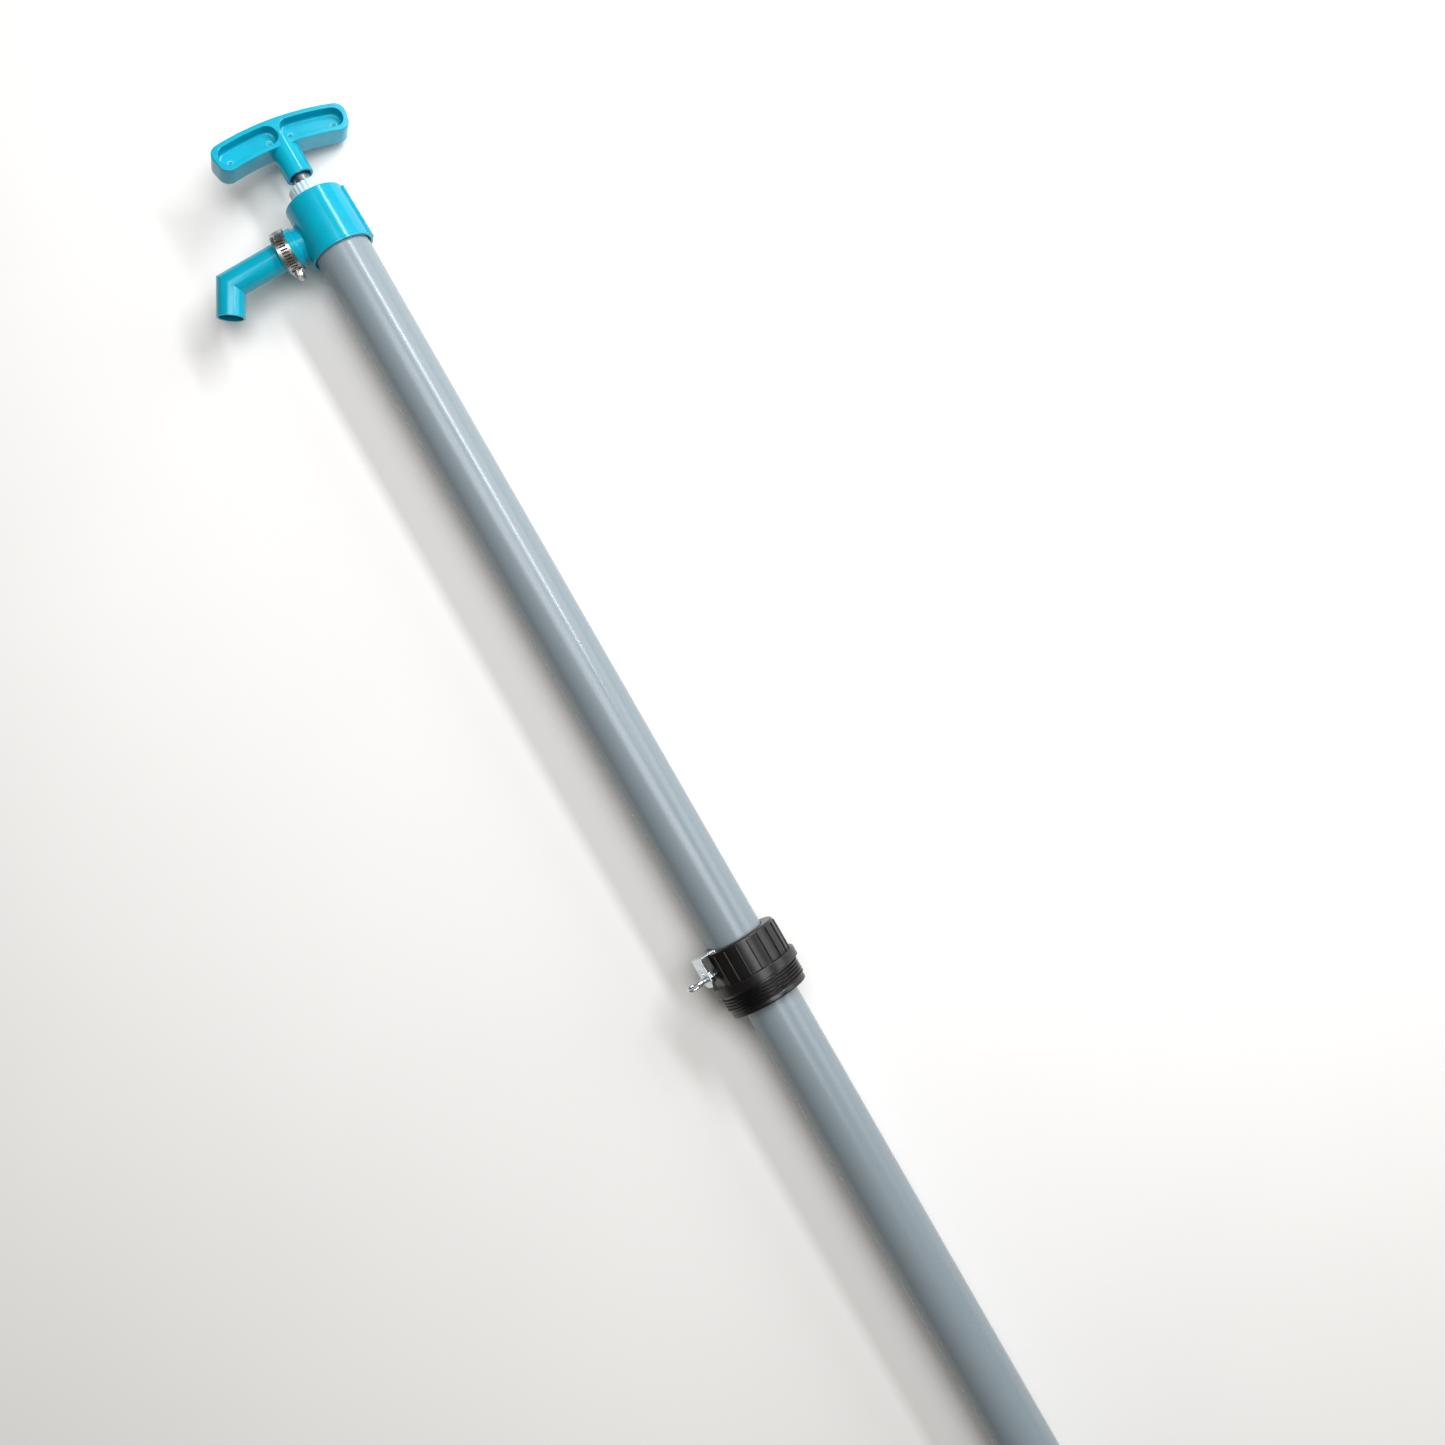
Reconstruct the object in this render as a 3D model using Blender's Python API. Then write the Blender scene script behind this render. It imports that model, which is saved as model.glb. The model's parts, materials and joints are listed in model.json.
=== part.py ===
"""Hand lift pump for drums, lying on its side.

A plastic suction tube carries a cap with a side outlet at one end and a foot
valve at the other.  A T-handle on a long rod works a piston inside the tube.
A threaded bung adapter slides along the tube and is locked by a screw in a
sheet steel strap.  A bent spout is held on the outlet by a worm-drive clamp.

Every piece is modelled on the pump's own axis, foot at z = 0 and handle up:
local x is the way the outlet points and local y is the side that faces up
when the pump lies down.  The empty "pump_axis" then lays the pump on its side
and "stand_on_floor" puts the origin under the middle of its bounding box.
All sizes are in metres.
"""

import math

import bmesh
import bpy
from mathutils import Matrix, Vector

# --- clearances and facet counts ---
GAP = 0.0003                # between two pieces that touch or are threaded
RUN = 0.0006                # round a piece that slides or turns freely
ROUND = 40                  # facets round the tube and what fits on it
SMALL_ROUND = 24            # facets round rods, screws and small rings
BALL_RINGS = 12

# --- suction tube ---
TUBE_RADIUS = 0.020
TUBE_WALL = 0.002
REACH = 1.090               # foot end to the bottom rim of the cap
TUBE_IN_CAP = 0.034         # how far the tube goes up into the cap
PORT_RADIUS = 0.0078        # liquid passage from tube to spout

# --- cap with side outlet ---
CAP_HEIGHT = 0.042
CAP_WALL_BOTTOM = 0.0023
CAP_WALL_TOP = 0.0015
CAP_LIP = 0.0006
CAP_LIP_HEIGHT = 0.0014
CAP_TOP_THICKNESS = 0.004
CAP_EDGE = 0.0010
OUTLET_HEIGHT = 0.0193      # outlet axis above the cap's bottom rim
OUTLET_NECK = 0.0020        # between the cap's wall and the collar
COLLAR_LENGTH = 0.0049
NOZZLE_RADIUS = 0.0120
NECK_PROUD = 0.0010         # neck and collar radius beyond the nozzle's
COLLAR_PROUD = 0.0018
NOZZLE_LENGTH = 0.0078
RIB_WIDTH = 0.0080
RIB_PROUD = 0.0016
RIB_MARGIN = 0.0020

# --- rod gland ---
BOSS_WALL = 0.0034
BOSS_FLOOR = 0.0030
BOSS_DEPTH = 0.0160         # boss below the top of the cap
GLAND_THREAD_RADIUS = 0.0096
SEAL_THICKNESS = 0.0024
WASHER_THICKNESS = 0.0012
NUT_RADIUS = 0.01325
NUT_HEIGHT = 0.0107
NUT_SERRATIONS = 24
NUT_SERRATION_DEPTH = 0.0006

# --- rod, piston and its valve ---
ROD_RADIUS = 0.0060
ROD_END_RADIUS = 0.0040
ROD_IN_HANDLE = 0.0225      # ends below the handle's pockets
PISTON_CLEARANCE = 0.0175   # piston nut above the ball cage, handle down
PISTON_LENGTH = 0.0160
PISTON_HUB_RADIUS = 0.0085
PISTON_HUB_LENGTH = 0.0058
PISTON_SEAL_HEIGHT = 0.0060
PISTON_SEAL_DEPTH = 0.0026
PISTON_LAND = 0.0050        # piston wall on each side of its seal
PISTON_PORTS = 6
PISTON_PORT_RADIUS = 0.0021
FLAP_THICKNESS = 0.0020
RETAINER_THICKNESS = 0.0015
PISTON_NUT_LENGTH = 0.0060
PISTON_NUT_FLATS = 0.0130
STROKE = 0.3500
STOP_RADIUS = 0.0100
STOP_LENGTH = 0.0120

# --- T-handle ------------------------------------------------------------------------
HANDLE_LIFT = 0.0186        # socket rim above the top of the cap
SOCKET_RADIUS = 0.0100
SOCKET_LENGTH = 0.0210
SOCKET_MOUTH_RADIUS = 0.0079
SOCKET_MOUTH_DEPTH = 0.0040
GRIP_SPAN = 0.1004
GRIP_HEIGHT = 0.0208
GRIP_DEPTH = 0.0190
GRIP_BEND_RADIUS = 0.2080
GRIP_CORNER = 0.0078
GRIP_RIM = 0.0034
GRIP_WEB = 0.0030
POCKET_DEPTH = 0.0080
POCKET_ROUNDING = 0.97      # end radius as a share of the pocket's half height
GRIP_STEP = 0.0060          # between points along the arched sides
HANDLE_TURN = math.radians(20.0)

# --- bung adapter ---
ADAPTER_TOP = 0.5407        # above the foot end
ADAPTER_BORE_GAP = 0.0006
GRIP_RING_HEIGHT = 0.0244
GRIP_RING_INSET = 0.0012    # grip ring inside the thread's radius
BAND_HEIGHT = 0.0020
RIB_COUNT = 20
GRIP_RIB_PROUD = 0.0009
RIB_THICKNESS = 0.0014
RIB_START_ANGLE = math.radians(14.5)
SHOULDER_PROUD = 0.0022     # shoulder beyond the thread's radius
SHOULDER_HEIGHT = 0.0070
THREAD_RADIUS = 0.0298
THREAD_DEPTH = 0.00148
THREAD_PITCH = 0.002309
THREAD_CREST = 0.06         # half the crest's width, in pitches
THREAD_FOOT = 0.42          # half the ridge's width at its root, in pitches
THREAD_TURNS = 5
THREAD_LENGTH = 0.0170
LEAD_INSET = 0.0010
RING_HEIGHT = 0.0026
RING_DEPTH = 0.0020
RING_CHAMFER = 0.3          # corner as a share of the ring's section
RING_PLACE = 0.0080         # sealing ring above the adapter's lower end

# --- strap, nut, lock screw and pad ---
STRAP_ANGLE = math.radians(24.0)
STRAP_WIDTH = 0.0160
STRAP_THICKNESS = 0.0012
STRAP_STANDOFF = 0.0069     # outer face of the strap from the flat
STRAP_DROP = 0.0208
STRAP_HOOK = 0.0080
STRAP_CORNER = 0.0050
FLAT_DEPTH = 0.0010         # flat inside the grip ring's radius
FLAT_WIDTH = 0.0215
LOCK_BELOW_TOP = 0.0142     # lock screw axis below the adapter's top
LOCK_RADIUS = 0.0024
LOCK_NUT_FLATS = 0.0080
LOCK_NUT_LENGTH = 0.0040
LOCK_SHANK_OUT = 0.0075     # shank and head end beyond the strap
LOCK_HEAD_OUT = 0.0155
LOCK_HEAD_WIDTH = 0.0100
LOCK_HEAD_THICKNESS = 0.0022
LOCK_HEAD_ROUNDING = 0.6    # corner as a share of the head's half width
LOCK_HEAD_TURN = math.radians(76.0)
LOCK_EYE_RADIUS = 0.0026
PAD_RADIUS = 0.0040
PAD_THICKNESS = 0.0030
PAD_TRAVEL = 0.0022

# --- foot valve ---
FOOT_WALL = 0.0022          # round the tube
FOOT_SKIRT_WALL = 0.0045
FOOT_SKIRT = 0.0080
FOOT_FLOOR = 0.0060
FOOT_SOCKET = 0.0300        # how far the tube goes into the foot
FOOT_SLOT_WIDTH = 0.0080
FOOT_SLOT_HEIGHT = 0.0060
SEAT_RADIUS = 0.0090
SEAT_CHAMFER = 0.0020
GASKET_THICKNESS = 0.0012
CAGE_FLANGE = 0.0012
CAGE_WALL = 0.0020
CAGE_TOP = 0.0020
CAGE_WINDOW = 0.0100
BALL_RADIUS = 0.0110
BALL_LIFT = 0.0045

# --- spout ---
CUP_WALL = 0.0020
CUP_LENGTH = 0.0098
CUP_SLOT = 0.0016
SPOUT_RADIUS = 0.0102
SPOUT_TIP_RADIUS = 0.0099
SPOUT_WALL = 0.0014
SPOUT_RUN = 0.0499          # collar to the elbow
SPOUT_LEG = 0.0230
SPOUT_BEND = math.radians(60.0)

# --- worm-drive clamp ------------------------------------------------------------------------------
BAND_WIDTH = 0.0092
BAND_THICKNESS = 0.0008
HOUSING_LENGTH = 0.0090
HOUSING_WIDTH = 0.0082
HOUSING_WALL = 0.0008
WORM_RADIUS = 0.0019
WORM_HEAD_RADIUS = 0.0031
WORM_HEAD_LENGTH = 0.0026
WORM_SLOT = 0.0010

# --- heights that follow from the sizes above ---
BORE = TUBE_RADIUS - TUBE_WALL
CAP_WALL_INNER = TUBE_RADIUS + GAP
CAP_RADIUS = CAP_WALL_INNER + CAP_WALL_BOTTOM
OUTLET_RADIUS = NOZZLE_RADIUS + NECK_PROUD
COLLAR_RADIUS = NOZZLE_RADIUS + COLLAR_PROUD
COLLAR_START = CAP_RADIUS + OUTLET_NECK        # from the tube axis along the outlet
COLLAR_END = COLLAR_START + COLLAR_LENGTH
SPOUT_REACH = COLLAR_END + SPOUT_RUN
FOOT_RADIUS = CAP_WALL_INNER + FOOT_WALL
FOOT_SKIRT_RADIUS = FOOT_RADIUS - FOOT_SKIRT_WALL
CAP_BOTTOM = REACH
CAP_TOP = CAP_BOTTOM + CAP_HEIGHT
OUTLET_Z = CAP_BOTTOM + OUTLET_HEIGHT
TUBE_TOP = CAP_BOTTOM + TUBE_IN_CAP
FLOOR_TOP = FOOT_SKIRT + FOOT_FLOOR
FLANGE_BOTTOM = FLOOR_TOP + GASKET_THICKNESS + 2 * GAP
TUBE_BOTTOM = FLANGE_BOTTOM + CAGE_FLANGE + GAP
BALL_Z = FLOOR_TOP - SEAT_CHAMFER + math.sqrt((BALL_RADIUS + GAP) ** 2 - SEAT_RADIUS**2)
BALL_STOP_Z = BALL_Z + BALL_RADIUS + BALL_LIFT + GAP
PISTON_Z = BALL_STOP_Z + CAGE_TOP + PISTON_CLEARANCE + PISTON_NUT_LENGTH
SOCKET_BOTTOM = CAP_TOP + HANDLE_LIFT
ROD_TOP = SOCKET_BOTTOM + ROD_IN_HANDLE
BOSS_BOTTOM = CAP_TOP - BOSS_DEPTH
ADAPTER_LENGTH = GRIP_RING_HEIGHT + SHOULDER_HEIGHT + THREAD_LENGTH
ADAPTER_BOTTOM = ADAPTER_TOP - ADAPTER_LENGTH
LOCK_Z = ADAPTER_TOP - LOCK_BELOW_TOP
SHOULDER_RADIUS = THREAD_RADIUS + SHOULDER_PROUD
GRIP_RING_RADIUS = THREAD_RADIUS - GRIP_RING_INSET
RIB_RADIUS = GRIP_RING_RADIUS + GRIP_RIB_PROUD
LEAD_RADIUS = THREAD_RADIUS - LEAD_INSET
FLAT_RADIUS = GRIP_RING_RADIUS - FLAT_DEPTH
STRAP_REACH = FLAT_RADIUS + STRAP_STANDOFF
LOCK_SHANK_END = STRAP_REACH + LOCK_SHANK_OUT
LOCK_END = STRAP_REACH + LOCK_HEAD_OUT
BAND_INNER = NOZZLE_RADIUS + GAP + CUP_WALL + GAP
BAND_OUTER = BAND_INNER + BAND_THICKNESS
WORM_AXIS = BAND_OUTER + GAP + HOUSING_WALL + WORM_RADIUS


# --- shapes ---
def turned(profile, facets):
    """Spin a closed (radius, height) outline round z into a solid."""
    shape = bmesh.new()
    ring = [shape.verts.new((radius, 0.0, height)) for radius, height in profile]
    closed = list(zip(ring, ring[1:] + ring[:1]))
    edges = [shape.edges.new(pair) for pair in closed if not on_axis(pair)]
    bmesh.ops.spin(
        shape,
        geom=ring + edges,
        cent=(0, 0, 0),
        axis=(0, 0, 1),
        angle=math.tau,
        steps=facets,
        use_merge=True,
    )
    bmesh.ops.remove_doubles(shape, verts=shape.verts, dist=1e-6)
    bmesh.ops.recalc_face_normals(shape, faces=shape.faces)
    return shape


def on_axis(pair):
    return all(abs(vert.co.x) < 1e-9 for vert in pair)


def rod_shape(radius, low, high, facets=SMALL_ROUND):
    return turned([(0, low), (radius, low), (radius, high), (0, high)], facets)


def ring_shape(inner, outer, low, high, facets=SMALL_ROUND):
    return turned([(inner, low), (outer, low), (outer, high), (inner, high)], facets)


def box_shape(low, high):
    shape = bmesh.new()
    bmesh.ops.create_cube(shape, size=1.0)
    size = Vector(high) - Vector(low)
    middle = (Vector(high) + Vector(low)) / 2
    bmesh.ops.scale(shape, vec=size, verts=shape.verts)
    bmesh.ops.translate(shape, vec=middle, verts=shape.verts)
    return shape


def slab(outline, low, high):
    """Extrude a closed (x, z) outline along y."""
    shape = bmesh.new()
    face = shape.faces.new([shape.verts.new((x, low, z)) for x, z in outline])
    raised = bmesh.ops.extrude_face_region(shape, geom=[face])["geom"]
    verts = [item for item in raised if isinstance(item, bmesh.types.BMVert)]
    bmesh.ops.translate(shape, vec=(0, high - low, 0), verts=verts)
    bmesh.ops.recalc_face_normals(shape, faces=shape.faces)
    return shape


def hexagon(flats, low, high, hole):
    """A hexagonal nut round z: six sides outside, round hole inside."""
    shape = ring_shape(hole, flats / 2 / math.cos(math.pi / 6), low, high, 24)
    for vert in shape.verts:
        radius = vert.co.xy.length
        if radius > hole * 1.01:
            turn = math.atan2(vert.co.y, vert.co.x) % (math.pi / 3) - math.pi / 6
            vert.co.xy *= flats / 2 / math.cos(turn) / radius
    return shape


def arc(centre, radius, start, end, steps):
    """Points on an arc in the (x, z) plane, angles from +x."""
    turns = [start + (end - start) * step / steps for step in range(steps + 1)]
    return [(centre[0] + radius * math.cos(t), centre[1] + radius * math.sin(t)) for t in turns]


# --- objects ---
def clear_scene():
    for item in list(bpy.data.objects):
        bpy.data.objects.remove(item)


def material(name, colour, roughness, metallic=0.0):
    made = bpy.data.materials.new(name)
    made.use_nodes = True
    shader = made.node_tree.nodes["Principled BSDF"]
    shader.inputs["Base Color"].default_value = (*colour, 1.0)
    shader.inputs["Roughness"].default_value = roughness
    shader.inputs["Metallic"].default_value = metallic
    return made


def empty(name, parent, place=Matrix.Identity(4)):
    made = bpy.data.objects.new(name, None)
    bpy.context.collection.objects.link(made)
    made.parent = parent
    made.matrix_local = place
    return made


def piece(name, shape, finish, parent, place=Matrix.Identity(4)):
    mesh = bpy.data.meshes.new(name)
    shape.to_mesh(mesh)
    shape.free()
    mesh.shade_smooth()
    mesh.set_sharp_from_angle(angle=math.radians(35))
    made = bpy.data.objects.new(name, mesh)
    bpy.context.collection.objects.link(made)
    made.parent = parent
    made.matrix_local = place
    if finish:
        mesh.materials.append(finish)
    return made


def helper(target, kind, shape, place=Matrix.Identity(4)):
    """Add (UNION) or take away (DIFFERENCE) a shape from a piece."""
    tool = piece(f"{target.name}_{kind.lower()}", shape, None, target, place)
    tool.hide_render = True
    tool.display_type = "WIRE"
    change = target.modifiers.new(tool.name, "BOOLEAN")
    change.operation = kind
    change.solver = "EXACT"
    change.object = tool
    return tool


def add(target, shape, place=Matrix.Identity(4)):
    return helper(target, "UNION", shape, place)


def cut(target, shape, place=Matrix.Identity(4)):
    return helper(target, "DIFFERENCE", shape, place)


# --- directions in the pump's own frame ---
ALONG_X = Matrix.Rotation(math.pi / 2, 4, "Y")       # turns z into x
ALONG_Y = Matrix.Rotation(-math.pi / 2, 4, "X")      # turns z into y


def at_height(height):
    return Matrix.Translation((0, 0, height))


# --- barrel ---
def build_tube(axis, finish):
    tube = piece("tube", ring_shape(BORE, TUBE_RADIUS, TUBE_BOTTOM, TUBE_TOP, ROUND), finish, axis)
    port = rod_shape(PORT_RADIUS, 0.0, TUBE_RADIUS * 1.5)
    cut(tube, port, at_height(OUTLET_Z) @ ALONG_X)


def build_top_cap(axis, finish):
    bottom = CAP_RADIUS
    top = CAP_WALL_INNER + CAP_WALL_TOP
    outside = [
        (0, 0),
        (bottom + CAP_LIP, 0),
        (bottom + CAP_LIP, CAP_LIP_HEIGHT),
        (bottom, CAP_LIP_HEIGHT + CAP_LIP),
        (top, CAP_HEIGHT - CAP_EDGE),
        (top - CAP_EDGE, CAP_HEIGHT),
        (0, CAP_HEIGHT),
    ]
    cap = piece("top_cap", turned(outside, ROUND), finish, axis, at_height(CAP_BOTTOM))
    outlet = [
        (0, 0),
        (OUTLET_RADIUS, 0),
        (OUTLET_RADIUS, COLLAR_START),
        (COLLAR_RADIUS, COLLAR_START),
        (COLLAR_RADIUS, COLLAR_END),
        (NOZZLE_RADIUS, COLLAR_END),
        (NOZZLE_RADIUS, COLLAR_END + NOZZLE_LENGTH),
        (0, COLLAR_END + NOZZLE_LENGTH),
    ]
    half_facet = Matrix.Rotation(math.pi / SMALL_ROUND, 4, "Z")
    outlet_place = at_height(OUTLET_HEIGHT) @ ALONG_X @ half_facet
    add(cap, turned(outlet, SMALL_ROUND), outlet_place)
    rib_low = (-bottom - RIB_PROUD, -RIB_WIDTH / 2, CAP_LIP_HEIGHT / 2)
    rib_high = (-bottom / 2, RIB_WIDTH / 2, CAP_HEIGHT - RIB_MARGIN)
    add(cap, box_shape(rib_low, rib_high))
    boss_outer = GLAND_THREAD_RADIUS + BOSS_WALL
    boss_bottom = CAP_HEIGHT - BOSS_DEPTH
    hollow = [
        (0, -CAP_HEIGHT),
        (CAP_WALL_INNER, -CAP_HEIGHT),
        (CAP_WALL_INNER, TUBE_IN_CAP + GAP),
        (BORE, TUBE_IN_CAP + GAP),
        (BORE, CAP_HEIGHT - CAP_TOP_THICKNESS),
        (boss_outer, CAP_HEIGHT - CAP_TOP_THICKNESS),
        (boss_outer, boss_bottom),
        (ROD_RADIUS + RUN, boss_bottom),
        (ROD_RADIUS + RUN, boss_bottom + BOSS_FLOOR),
        (GLAND_THREAD_RADIUS, boss_bottom + BOSS_FLOOR),
        (GLAND_THREAD_RADIUS, CAP_HEIGHT * 1.5),
        (0, CAP_HEIGHT * 1.5),
    ]
    cut(cap, turned(hollow, ROUND))
    passage = rod_shape(PORT_RADIUS, BORE * 0.9, COLLAR_END + NOZZLE_LENGTH * 2)
    cut(cap, passage, outlet_place)


def build_gland(axis, nut_finish, rubber, washer_finish):
    seat = BOSS_BOTTOM + BOSS_FLOOR + GAP
    seal = ring_shape(ROD_RADIUS + GAP, GLAND_THREAD_RADIUS - GAP, 0, SEAL_THICKNESS)
    piece("rod_seal", seal, rubber, axis, at_height(seat))
    washer_z = seat + SEAL_THICKNESS + GAP
    washer = ring_shape(ROD_RADIUS + RUN, GLAND_THREAD_RADIUS - GAP, 0, WASHER_THICKNESS)
    piece("gland_washer", washer, washer_finish, axis, at_height(washer_z))
    thread_z = washer_z + WASHER_THICKNESS + GAP - CAP_TOP
    profile = [
        (ROD_RADIUS + RUN, thread_z),
        (GLAND_THREAD_RADIUS - GAP, thread_z),
        (GLAND_THREAD_RADIUS - GAP, GAP),
        (NUT_RADIUS, GAP),
        (NUT_RADIUS, GAP + NUT_HEIGHT - CAP_EDGE),
        (NUT_RADIUS - CAP_EDGE, GAP + NUT_HEIGHT),
        (ROD_RADIUS + RUN, GAP + NUT_HEIGHT),
    ]
    nut = turned(profile, NUT_SERRATIONS * 2)
    for vert in nut.verts:
        radius = vert.co.xy.length
        step = round(math.atan2(vert.co.y, vert.co.x) / math.pi * NUT_SERRATIONS)
        if radius > NUT_RADIUS - CAP_EDGE * 1.5 and step % 2:
            vert.co.xy *= 1 - NUT_SERRATION_DEPTH / radius
    piece("gland_nut", nut, nut_finish, axis, at_height(CAP_TOP))


def build_foot(axis, plastic, cage_finish, rubber, steel):
    socket_top = TUBE_BOTTOM + FOOT_SOCKET
    profile = [
        (FOOT_SKIRT_RADIUS, 0),
        (FOOT_RADIUS - CAP_EDGE, 0),
        (FOOT_RADIUS, CAP_EDGE),
        (FOOT_RADIUS, socket_top - CAP_EDGE),
        (FOOT_RADIUS - CAP_EDGE, socket_top),
        (TUBE_RADIUS + GAP, socket_top),
        (TUBE_RADIUS + GAP, FLOOR_TOP),
        (SEAT_RADIUS + SEAT_CHAMFER, FLOOR_TOP),
        (SEAT_RADIUS, FLOOR_TOP - SEAT_CHAMFER),
        (SEAT_RADIUS, FOOT_SKIRT),
        (FOOT_SKIRT_RADIUS, FOOT_SKIRT),
    ]
    foot = piece("foot_body", turned(profile, ROUND), plastic, axis)
    half = FOOT_SLOT_WIDTH / 2
    wide = FOOT_RADIUS * 1.5
    cut(foot, box_shape((-wide, -half, -FOOT_SKIRT), (wide, half, FOOT_SLOT_HEIGHT)))
    cut(foot, box_shape((-half, -wide, -FOOT_SKIRT), (half, wide, FOOT_SLOT_HEIGHT)))

    cage_inner = BALL_RADIUS + RUN * 2
    cage_outer = cage_inner + CAGE_WALL
    gasket = ring_shape(cage_inner, TUBE_RADIUS, 0, GASKET_THICKNESS, ROUND)
    piece("foot_gasket", gasket, rubber, axis, at_height(FLOOR_TOP + GAP))

    stop_z = BALL_STOP_Z - FLANGE_BOTTOM
    cage = [
        (cage_inner, 0),
        (TUBE_RADIUS, 0),
        (TUBE_RADIUS, CAGE_FLANGE),
        (cage_outer, CAGE_FLANGE),
        (cage_outer, stop_z + CAGE_TOP),
        (cage_inner / 2, stop_z + CAGE_TOP),
        (cage_inner / 2, stop_z),
        (cage_inner, stop_z),
    ]
    ball_cage = piece("ball_cage", turned(cage, SMALL_ROUND), cage_finish, axis, at_height(FLANGE_BOTTOM))
    half = CAGE_WINDOW / 2
    low = CAGE_FLANGE * 2
    cut(ball_cage, box_shape((-wide, -half, low), (wide, half, stop_z - CAGE_TOP)))
    cut(ball_cage, box_shape((-half, -wide, low), (half, wide, stop_z - CAGE_TOP)))

    ball = bmesh.new()
    bmesh.ops.create_uvsphere(ball, u_segments=SMALL_ROUND, v_segments=BALL_RINGS, radius=BALL_RADIUS)
    piece("foot_ball", ball, steel, axis, at_height(BALL_Z))


# --- piston and plunger ---
def build_piston(axis, plastic, rubber, flap_finish):
    place = at_height(PISTON_Z)
    skirt = BORE - RUN * 1.5
    groove = skirt - PISTON_SEAL_DEPTH
    land = PISTON_LAND + PISTON_SEAL_HEIGHT
    body = [
        (ROD_END_RADIUS + GAP, 0),
        (skirt, 0),
        (skirt, PISTON_LAND),
        (groove, PISTON_LAND),
        (groove, land),
        (skirt, land),
        (skirt, PISTON_LENGTH),
        (PISTON_HUB_RADIUS, PISTON_LENGTH),
        (PISTON_HUB_RADIUS, PISTON_LENGTH + PISTON_HUB_LENGTH),
        (ROD_END_RADIUS + GAP, PISTON_LENGTH + PISTON_HUB_LENGTH),
    ]
    piston = piece("piston_body", turned(body, ROUND), plastic, axis, place)
    port_circle = (PISTON_HUB_RADIUS + groove) / 2
    for port in range(PISTON_PORTS):
        turn = Matrix.Rotation(math.tau * port / PISTON_PORTS, 4, "Z")
        hole = rod_shape(PISTON_PORT_RADIUS, -PISTON_LENGTH, PISTON_LENGTH * 2, 12)
        cut(piston, hole, turn @ Matrix.Translation((port_circle, 0, 0)))
    seal = ring_shape(groove + GAP, BORE - GAP, PISTON_LAND + GAP, land - GAP, ROUND)
    piece("piston_seal", seal, rubber, axis, place)
    low = PISTON_LENGTH + GAP
    flap = ring_shape(PISTON_HUB_RADIUS + GAP, groove, low, low + FLAP_THICKNESS, ROUND)
    piece("piston_flap", flap, flap_finish, axis, place)


def build_plunger(axis, metal, steel, handle_finish):
    retainer_z = PISTON_Z + PISTON_LENGTH + PISTON_HUB_LENGTH + GAP
    shoulder_z = retainer_z + RETAINER_THICKNESS + GAP
    nut_top = PISTON_Z - GAP
    rod_bottom = nut_top - PISTON_NUT_LENGTH
    rod = [
        (0, rod_bottom),
        (ROD_END_RADIUS, rod_bottom),
        (ROD_END_RADIUS, shoulder_z),
        (ROD_RADIUS, shoulder_z),
        (ROD_RADIUS, ROD_TOP),
        (0, ROD_TOP),
    ]
    piece("pump_rod", turned(rod, SMALL_ROUND), metal, axis)
    hole = ROD_END_RADIUS + GAP
    nut = hexagon(PISTON_NUT_FLATS, 0, PISTON_NUT_LENGTH, hole)
    piece("piston_nut", nut, steel, axis, at_height(nut_top - PISTON_NUT_LENGTH))
    retainer = ring_shape(hole, PISTON_HUB_RADIUS + FLAP_THICKNESS * 2, 0, RETAINER_THICKNESS)
    piece("flap_retainer", retainer, steel, axis, at_height(retainer_z))
    stop_top = BOSS_BOTTOM - STROKE - GAP
    stop = ring_shape(ROD_RADIUS + GAP, STOP_RADIUS, 0, STOP_LENGTH)
    piece("rod_stop", stop, steel, axis, at_height(stop_top - STOP_LENGTH))
    build_handle(axis, handle_finish)


def bent_outline(start, end, half_height, corner):
    """Outline of an arched bar between two arc lengths, corners rounded.

    The arch has its centre below, at (0, -GRIP_BEND_RADIUS)."""
    inner = GRIP_BEND_RADIUS - half_height
    outer = GRIP_BEND_RADIUS + half_height
    points = []
    ends = ((end, 1), (start, -1))
    for length, side in ends:
        turn = math.pi / 2 - length / GRIP_BEND_RADIUS
        along = Vector((math.sin(turn), -math.cos(turn))) * side
        outward = Vector((math.cos(turn), math.sin(turn)))
        centre = Vector((0, -GRIP_BEND_RADIUS))
        rounding = []
        for level, up in ((inner + corner, -1), (outer - corner, 1)):
            spot = centre + outward * level - along * corner
            for step in range(7):
                bend = math.pi / 2 * (step / 6 if up > 0 else 1 - step / 6)
                rounding.append(spot + (along * math.cos(bend) + outward * up * math.sin(bend)) * corner)
        points += rounding if side > 0 else rounding[::-1]
        points += bow(start, end, corner, outer if side > 0 else inner, side)
    return [(point[0], point[1]) for point in points]


def bow(start, end, corner, radius, side):
    """Points along one long side of the arched bar, between its corners."""
    steps = max(2, round((end - start) / GRIP_STEP))
    low = (start + corner) / GRIP_BEND_RADIUS
    high = (end - corner) / GRIP_BEND_RADIUS
    turns = [high + (low - high) * step / steps for step in range(1, steps)]
    if side < 0:
        turns.reverse()
    return [(radius * math.sin(t), radius * math.cos(t) - GRIP_BEND_RADIUS) for t in turns]


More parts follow.
